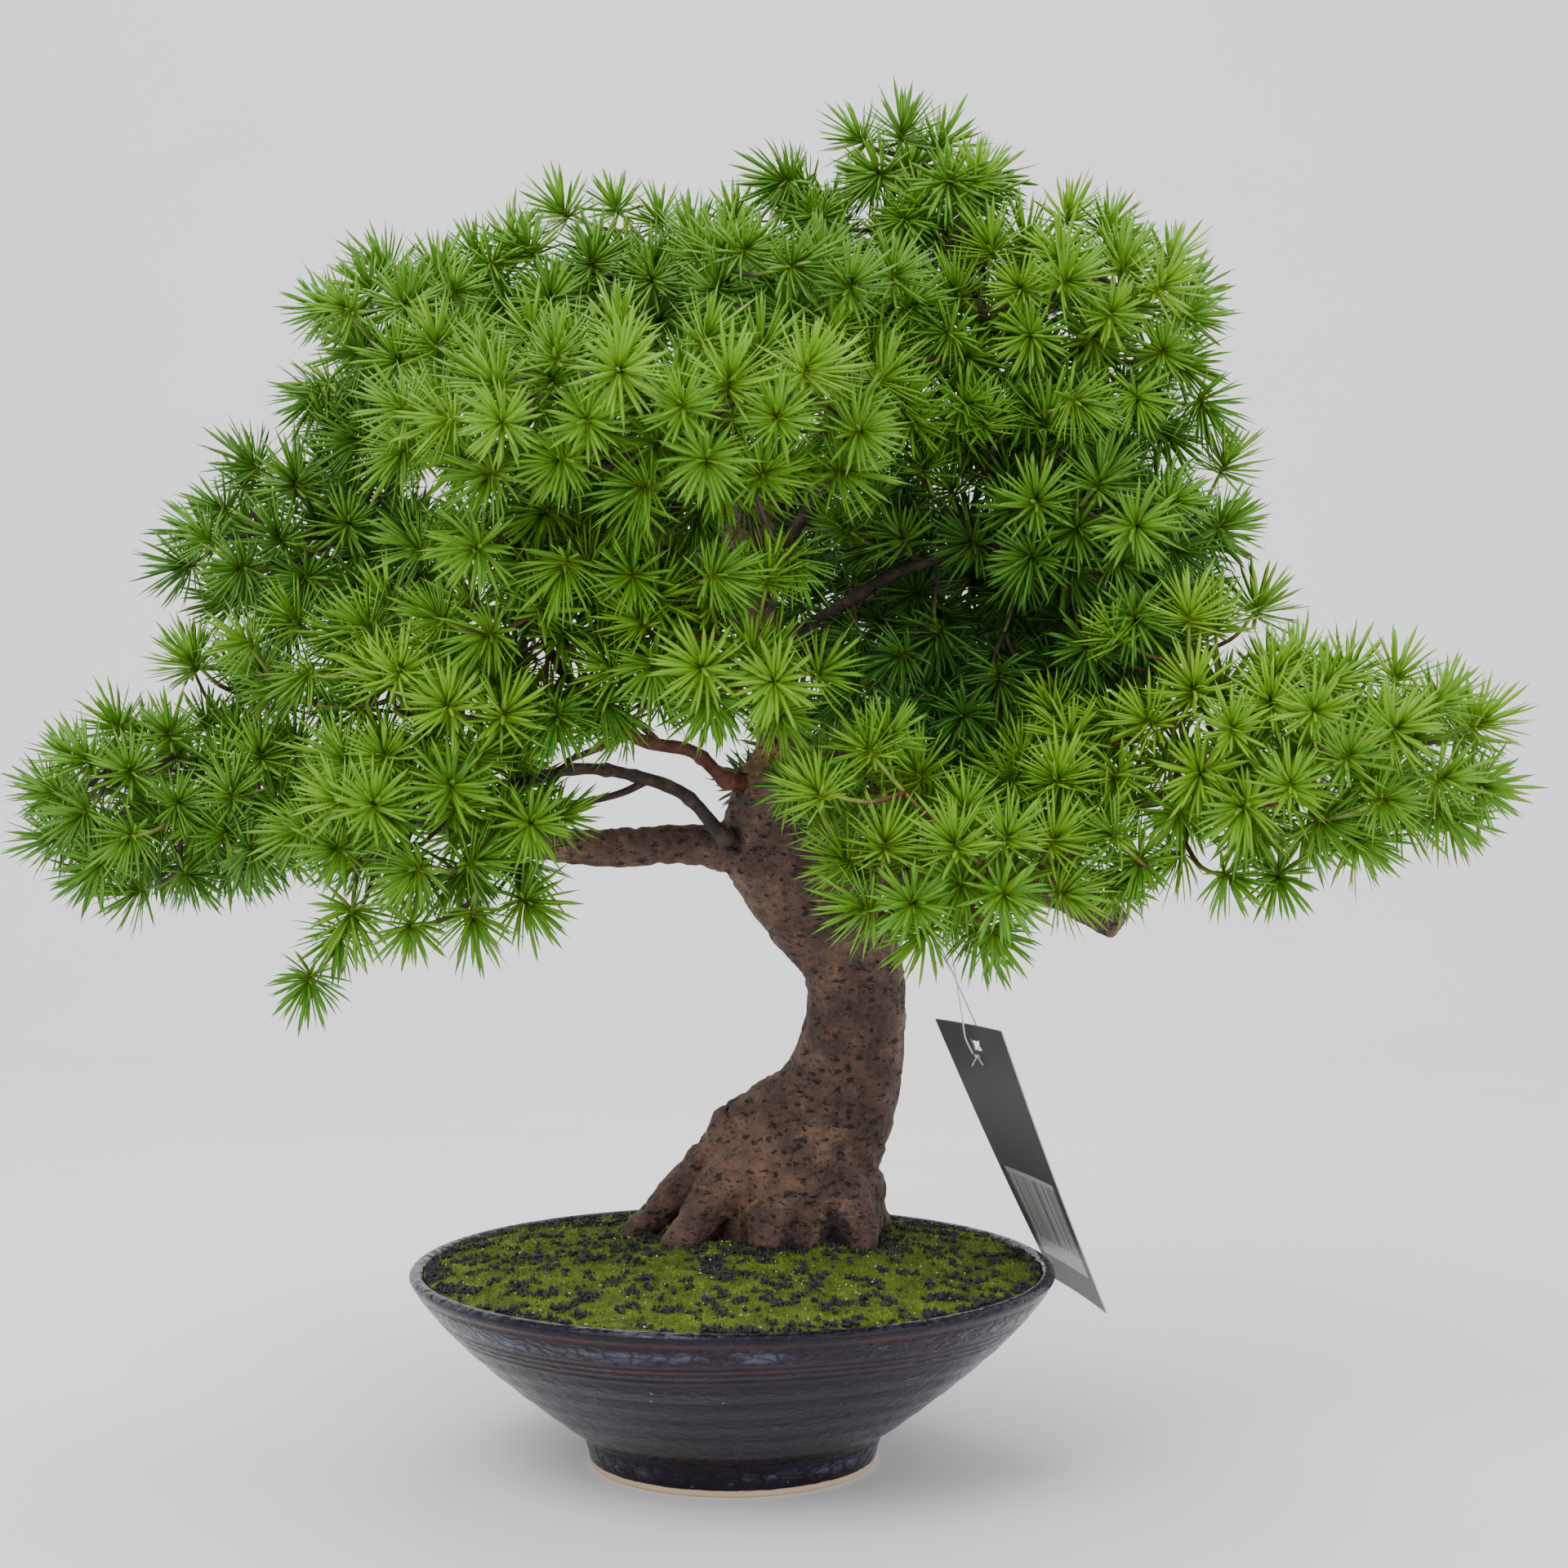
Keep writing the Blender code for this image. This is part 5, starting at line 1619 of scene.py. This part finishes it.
@dataclass
class Branch:
    """A plug-in branch: a wire-cored stem, its twigs, and a pad of needle sprigs."""

    name: str
    aim: Point
    route: list[Point]
    centre: Point
    half: Point
    bark: Bark
    leaf: Leaf
    side_twigs: list[list[Point]] = field(default_factory=list)
    outliers: list[Point] = field(default_factory=list)
    clumps: list[tuple[Point, Point]] = field(default_factory=list)
    # How lit the branch's needles are, from 0 to 1: painted light, lower for branches in the shade.
    painted_light_level: float = 0.5
    stem_radius: float = 0.0026
    tip_radius: float = 0.0017
    stem_sides: int = 14
    stem_waves: tuple[Wave, ...] = (Wave(0.00022, 0.0030, 4.0), Wave(0.00012, 0.0013, 9.0))
    plug_depth: float = 0.0070
    pad_reach: float = 0.55
    spacing: float = 0.0178
    overhang: float = 0.0090
    sprig_reach: float = 0.0165
    spread: float = 0.0200
    try_count: int = 3200
    clump_try_count: int = 900
    twig_start: float = 0.55
    twig_sag: float = 0.10
    twig_swerve: float = 0.14
    fork_cost: float = 0.25
    heading_share: float = 0.62
    outward_share: float = 0.55
    upward_share: float = 0.30
    chance_share: float = 0.28

    def pivot(self) -> Point:
        """Where the branch's plug ends, inside its socket."""
        return next(tuple(joint["pos_m"]) for joint in frame["joints"] if joint["child"] == self.name)

    def spine(self) -> np.ndarray:
        """The line down the middle of the stem.

        Returns:
            Its points, from the plug's inner end into the pad.
        """
        pivot, aim = np.array(self.pivot()), unit(np.array(self.aim))
        centre, last = np.array(self.centre), np.array(self.route[-1])
        inward = centre - last
        edge = centre - inward / np.linalg.norm(inward / self.half)
        tip = edge + (centre - edge) * self.pad_reach
        mouth = pivot + aim * self.plug_depth
        return flowing([pivot, mouth, mouth + aim * self.plug_depth, *self.route, tip], 8)

    def build_stem(self, finish: Material, rng: np.random.Generator) -> np.ndarray:
        """The stem with its glued collar, knuckles and side twigs.

        Args:
            finish: The stem's material.
            rng: The source of chance.

        Returns:
            The points down the middle of the stem.
        """
        spine = self.spine()
        steps = np.append(0.0, np.cumsum(np.linalg.norm(np.diff(spine, axis=0), axis=1)))
        share = steps / steps[-1]
        radii = self.stem_radius + (self.tip_radius - self.stem_radius) * share
        out = steps - self.plug_depth
        collar = 0.0013 * bell(out, 0.0042, 0.0022)
        knuckles = np.zeros(len(steps))
        for place in np.arange(0.016, steps[-1] - 0.004, 0.013) + rng.uniform(-0.003, 0.003, 1):
            knuckles += 0.00055 * rng.uniform(0.4, 1.2) * bell(steps, place, 0.0016)
        radii = radii + np.where(out > 0.0005, collar + knuckles, 0.0)
        stock = MeshStock()
        points, faces, _ = tube(spine, radii, self.stem_sides)
        bumps = waves(points, self.stem_waves)
        middles = np.vstack([np.repeat(spine, self.stem_sides, axis=0), spine[0], spine[-1]])
        outward = np.repeat(out > 0.001, self.stem_sides)
        bumps[:len(outward)] *= outward
        bumps[len(outward):] = 0.0
        stock.add(points + unit(points - middles) * bumps[:, None], faces)
        for twig in self.side_twigs:
            path = flowing(twig, 6)
            points, faces, _ = tube(path, np.linspace(0.0015, 0.0010, len(path)), 10)
            stock.add(points, faces)
        piece = stock.make(self.name + "_bark", [finish])
        finish_piece(piece, self.name, (self.name + "_stem",))
        return spine

    def reaches(self, places: np.ndarray, beyond: float) -> np.ndarray:
        """Whether each place is in the pad, let out by a distance."""
        return np.linalg.norm((places - self.centre) / (np.array(self.half) + beyond), axis=1) < 1.0

    def sprig_places(self, rng: np.random.Generator) -> np.ndarray:
        """Where the sprigs end: near the pad's surface, in its loose clumps, and out to its neighbours.

        Args:
            rng: The source of chance.

        Returns:
            The places, one a row, no two too close.
        """
        rays = unit(rng.normal(0, 1, (self.try_count, 3)))
        depth = rng.random((self.try_count, 1)) ** 0.30
        tries = [np.array(self.centre) + rays * depth * (np.array(self.half) - 0.0045).clip(0.010)]
        for centre, half in self.clumps:
            tries.append(np.array(centre) + rays[:self.clump_try_count] * depth[:self.clump_try_count] * half)
        wide = rays * rng.uniform(0.7, 1.0, (self.try_count, 1)) * (np.array(self.half) + self.spread)
        outward = unit(np.array(self.centre) - CROWN_MIDDLE)
        wide = self.centre + wide[wide @ outward < self.half[0] * 0.25]
        shared = np.zeros(len(wide), bool)
        for other in BRANCHES:
            if other is not self:
                shared |= other.reaches(wide, self.spread * 1.1)
        tries.append(wide[shared])
        kept = [np.array(place) for place in self.outliers]
        for group in tries:
            for place in group:
                gaps = np.array(kept) - place if kept else np.ones((1, 3))
                if ((gaps * gaps).sum(axis=1) > self.spacing ** 2).all():
                    kept.append(place)
        low = np.array(CAD_BOX[0]) - self.overhang + self.sprig_reach
        high = np.array(CAD_BOX[1]) + self.overhang - self.sprig_reach
        return np.clip(np.array(kept), low, high)

    def grow_twigs(self, spine: np.ndarray, places: np.ndarray) -> tuple[list[np.ndarray], np.ndarray]:
        """Joins every sprig to the stem by the shortest curving twigs.

        Args:
            spine: The points down the middle of the stem.
            places: Where the sprigs end.

        Returns:
            The twigs' paths, and the way that each twig is heading where its sprig starts.
        """
        start = int(len(spine) * self.twig_start)
        joints = list(spine[start:])
        costs = list(np.linspace(0.012, 0.0, len(joints)))
        order = np.argsort(np.linalg.norm(places - spine[-1], axis=1))
        paths, headings = [None] * len(places), np.zeros((len(places), 3))
        for number in order:
            place = places[number]
            reach = np.linalg.norm(np.array(joints) - place, axis=1)
            best = int(np.argmin(reach + np.array(costs)))
            root = joints[best]
            run = place - root
            sag = np.array((0.0, 0.0, -self.twig_sag)) * np.linalg.norm(run)
            swerve = self.twig_swerve if number % 2 else -self.twig_swerve
            middle = root + run * 0.5 + sag + np.cross(run, (0.0, 0.0, swerve))
            path = flowing([root, middle, place], 4)
            paths[number] = path
            headings[number] = path[-1] - path[-2]
            for step in (3, 5):
                joints.append(path[step])
                costs.append(costs[best] + self.fork_cost * reach[best])
        return paths, unit(headings)

    def build(self, stem_finish: Material, twig_finish: Material,
              needle_finish: Material, seed: int) -> None:
        """Builds the stem, the twigs and the needles.

        Args:
            stem_finish: The stem's material.
            twig_finish: The twigs' material.
            needle_finish: The needles' material.
            seed: The start of this branch's own chance.
        """
        rng = np.random.default_rng(seed)
        spine = self.build_stem(stem_finish, rng)
        places = self.sprig_places(rng)
        paths, headings = self.grow_twigs(spine, places)
        twigs = MeshStock()
        for path in paths:
            points, faces, along = tube(path, np.linspace(0.00095, 0.00060, len(path)), 6)
            twigs.add(points, faces, along=along)
        finish_piece(twigs.make(self.name + "_twigs", [twig_finish]), self.name)
        outward = unit((places - self.centre) / np.array(self.half) ** 2)
        axes = self.heading_share * headings + self.outward_share * outward
        axes = axes + rng.normal(0, self.chance_share, places.shape)
        axes[:, 2] += self.upward_share
        # Painted light and shade: sprigs high in the pad are lit and low ones shaded.
        lift = (places[:, 2] - self.centre[2]) / self.half[2]
        tones = np.clip(self.painted_light_level + 0.22 * lift + rng.normal(0, 0.13, len(places)), 0.02, 1.0)
        needles = MeshStock()
        Needles().grow(needles, rng, places, axes, rng.uniform(0.86, 1.08, len(places)), tones)
        piece = needles.make(self.name + "_needles", [needle_finish])
        finish_piece(piece, self.name, (self.name + "_spray",))


CROWN_MIDDLE = (0.010, 0.010, 0.300)
BRANCHES = [
    Branch("left_tip", (-0.9840, -0.0911, 0.1531),
           [(-0.1080, 0.0110, 0.2270), (-0.1380, 0.0140, 0.2330)],
           (-0.2040, 0.0200, 0.2340), (0.0530, 0.0580, 0.0350), Bark.BROWN, Leaf.MID, painted_light_level=0.55,
           outliers=[(-0.2320, 0.0100, 0.2080), (-0.2130, 0.0000, 0.2030), (-0.2230, 0.0150, 0.2620)]),
    Branch("left_low", (-0.7011, -0.6210, 0.3505),
           [(-0.0170, -0.0040, 0.2375), (-0.0340, -0.0180, 0.2445), (-0.0540, -0.0350, 0.2470)],
           (-0.1000, -0.0640, 0.2340), (0.0500, 0.0560, 0.0340), Bark.BROWN, Leaf.BRIGHT,
           side_twigs=[[(-0.0290, -0.0140, 0.2430), (-0.0400, -0.0180, 0.2380), (-0.0560, -0.0210, 0.2350),
                        (-0.0720, -0.0240, 0.2370)]],
           outliers=[(-0.1300, -0.0640, 0.1920), (-0.1390, -0.0700, 0.1770), (-0.1230, -0.0800, 0.2000),
                     (-0.1030, -0.0880, 0.1970), (-0.0830, -0.0840, 0.1990), (-0.0660, -0.0740, 0.2040)]),
    Branch("left_front", (-0.8419, -0.5011, 0.2004),
           [(-0.0140, -0.0130, 0.2530), (-0.0330, -0.0300, 0.2580), (-0.0520, -0.0550, 0.2760)],
           (-0.0640, -0.0820, 0.2950), (0.0400, 0.0400, 0.0150), Bark.RED, Leaf.BRIGHT,
           clumps=[((-0.1280, -0.0380, 0.2860), (0.0400, 0.0320, 0.0180))],
           side_twigs=[[(-0.0250, -0.0220, 0.2555), (-0.0290, -0.0250, 0.2600), (-0.0340, -0.0270, 0.2640)],
                       [(-0.0360, -0.0330, 0.2585), (-0.0460, -0.0370, 0.2540), (-0.0560, -0.0400, 0.2500)]]),
    Branch("left_mid", (-0.7386, -0.1379, -0.6599),
           [(-0.0680, -0.0030, 0.2960), (-0.0950, 0.0120, 0.3060)],
           (-0.1520, 0.0350, 0.3280), (0.0540, 0.0560, 0.0370), Bark.BROWN, Leaf.MID, painted_light_level=0.42,
           outliers=[(-0.1990, 0.0200, 0.3200), (-0.1730, 0.0100, 0.3560)]),
    Branch("crown_left", (-0.4501, -0.1500, 0.8803),
           [(-0.0330, -0.0080, 0.3440), (-0.0610, -0.0120, 0.3740)],
           (-0.1150, -0.0180, 0.4040), (0.0330, 0.0500, 0.0260), Bark.BROWN, Leaf.MID, painted_light_level=0.66),
    Branch("crown_front", (-0.0501, -0.9524, 0.3008),
           [(0.0040, -0.0310, 0.3480), (-0.0040, -0.0560, 0.3570)],
           (-0.0300, -0.1130, 0.3570), (0.0820, 0.0600, 0.0350), Bark.BROWN, Leaf.BRIGHT,
           clumps=[((0.0350, -0.0780, 0.3720), (0.0260, 0.0320, 0.0220))]),
    Branch("crown_top", (0.3046, -0.0982, 0.9474),
           [(0.0110, 0.0010, 0.3700), (0.0030, 0.0100, 0.3870)],
           (-0.0220, 0.0350, 0.4200), (0.0620, 0.0640, 0.0240), Bark.BROWN, Leaf.MID, painted_light_level=0.66,
           clumps=[((0.0240, -0.0600, 0.4080), (0.0400, 0.0330, 0.0180))],
           outliers=[(-0.0640, 0.0500, 0.4540), (-0.0450, 0.0560, 0.4570), (-0.0280, 0.0500, 0.4510),
                     (0.0000, 0.0300, 0.4480)]),
    Branch("crown_tip", (0.7980, 0.2494, 0.5486),
           [(0.0310, 0.0020, 0.3650), (0.0460, 0.0020, 0.3920), (0.0520, 0.0010, 0.4220)],
           (0.0580, 0.0000, 0.4620), (0.0240, 0.0240, 0.0160), Bark.BROWN, Leaf.MID, painted_light_level=0.70,
           outliers=[(0.0450, -0.0040, 0.4690), (0.0600, -0.0080, 0.4705), (0.0740, 0.0000, 0.4680),
                     (0.0580, 0.0000, 0.4420), (0.0480, 0.0020, 0.4300), (0.0600, -0.0060, 0.4200)]),
    Branch("crown_right", (0.8554, -0.2516, 0.4528),
           [(0.0320, -0.0080, 0.3440), (0.0580, -0.0100, 0.3680)],
           (0.1150, -0.0060, 0.4040), (0.0560, 0.0660, 0.0360), Bark.BROWN, Leaf.BRIGHT,
           clumps=[((0.0630, -0.0350, 0.3820), (0.0260, 0.0360, 0.0260))],
           outliers=[(0.1330, -0.0060, 0.4380), (0.1180, -0.0120, 0.4400)]),
    Branch("right_mid", (0.7547, 0.5535, 0.3522),
           [(0.0370, 0.0240, 0.2980), (0.0620, 0.0400, 0.3130)],
           (0.1220, 0.0760, 0.3200), (0.0590, 0.0560, 0.0340), Bark.BROWN, Leaf.MID, painted_light_level=0.30,
           clumps=[((0.0540, 0.0250, 0.3050), (0.0380, 0.0300, 0.0260)),
                   ((0.1250, 0.0050, 0.2850), (0.0360, 0.0400, 0.0200))]),
    Branch("right_low", (0.4505, -0.4505, 0.7708),
           [(0.1230, -0.0190, 0.2240), (0.1400, -0.0330, 0.2350)],
           (0.1880, -0.0580, 0.2520), (0.0720, 0.0620, 0.0360), Bark.RED, Leaf.BRIGHT, painted_light_level=0.62,
           clumps=[((0.1120, -0.0480, 0.2480), (0.0360, 0.0380, 0.0220))],
           outliers=[(0.1490, -0.0620, 0.2180), (0.1650, -0.0740, 0.2120), (0.1820, -0.0680, 0.2120),
                     (0.2480, -0.0520, 0.2450), (0.2430, -0.0560, 0.2310), (0.1900, -0.0560, 0.2820),
                     (0.2080, -0.0540, 0.2800)]),
    Branch("right_front", (0.5998, -0.7797, 0.1799),
           [(0.0610, -0.0050, 0.1900), (0.0640, -0.0270, 0.1980), (0.0680, -0.0520, 0.2060)],
           (0.0730, -0.0980, 0.2150), (0.0430, 0.0420, 0.0270), Bark.RED, Leaf.BRIGHT,
           clumps=[((0.0520, -0.0640, 0.2380), (0.0260, 0.0300, 0.0160))],
           outliers=[(0.0620, -0.1080, 0.1960), (0.0850, -0.1120, 0.1960)]),
    Branch("front_low", (-0.0501, -0.9823, 0.1804),
           [(0.0120, -0.0240, 0.2830), (0.0100, -0.0500, 0.2850)],
           (0.0060, -0.1050, 0.2750), (0.0320, 0.0360, 0.0180), Bark.RED, Leaf.BRIGHT, painted_light_level=0.55),
    Branch("right_high", (0.8997, -0.3499, 0.2599),
           [(0.0400, -0.0080, 0.3050), (0.0640, -0.0190, 0.3180)],
           (0.1250, -0.0350, 0.3310), (0.0500, 0.0450, 0.0260), Bark.BROWN, Leaf.MID,
           clumps=[((0.0700, -0.0220, 0.2700), (0.0420, 0.0360, 0.0300)),
                   ((0.0550, -0.0200, 0.3450), (0.0220, 0.0280, 0.0260))], painted_light_level=0.45,
           outliers=[(0.1700, -0.0300, 0.3520)]),
    # The two back branches take the shaded needle copy: painted shade.
    Branch("back_low", (0.0000, 0.9600, 0.2800),
           [(0.0150, 0.0450, 0.2400), (0.0200, 0.0660, 0.2430)],
           (0.0520, 0.1250, 0.2410), (0.0600, 0.0460, 0.0340), Bark.BROWN, Leaf.DARK, painted_light_level=0.45),
    Branch("back_mid", (-0.1002, 0.9016, 0.4208),
           [(0.0020, 0.0300, 0.3120), (-0.0030, 0.0520, 0.3230)],
           (-0.0150, 0.1130, 0.3430), (0.0680, 0.0600, 0.0350), Bark.BROWN, Leaf.DARK, painted_light_level=0.55),
]


def main() -> None:
    """Builds the tree's looks in order and writes how large the result is."""
    logging.basicConfig(level=logging.INFO, format="%(message)s")
    studio = Studio()
    studio.place_camera()
    SwingTag().build()
    GlazedBowl().build()
    Filling().build()
    MossMat().build(Trunk().build())
    stems = {bark: finish.make() for bark, finish in STEM_FINISHES.items()}
    twigs = {bark: finish.make() for bark, finish in TWIG_FINISHES.items()}
    needles = {leaf: finish.make() for leaf, finish in NEEDLE_FINISHES.items()}
    for number, branch in enumerate(BRANCHES):
        branch.build(stems[branch.bark], twigs[branch.bark], needles[branch.leaf], 100 + number)
    studio.build_floor()
    studio.light()


if __name__ == "__main__":
    main()
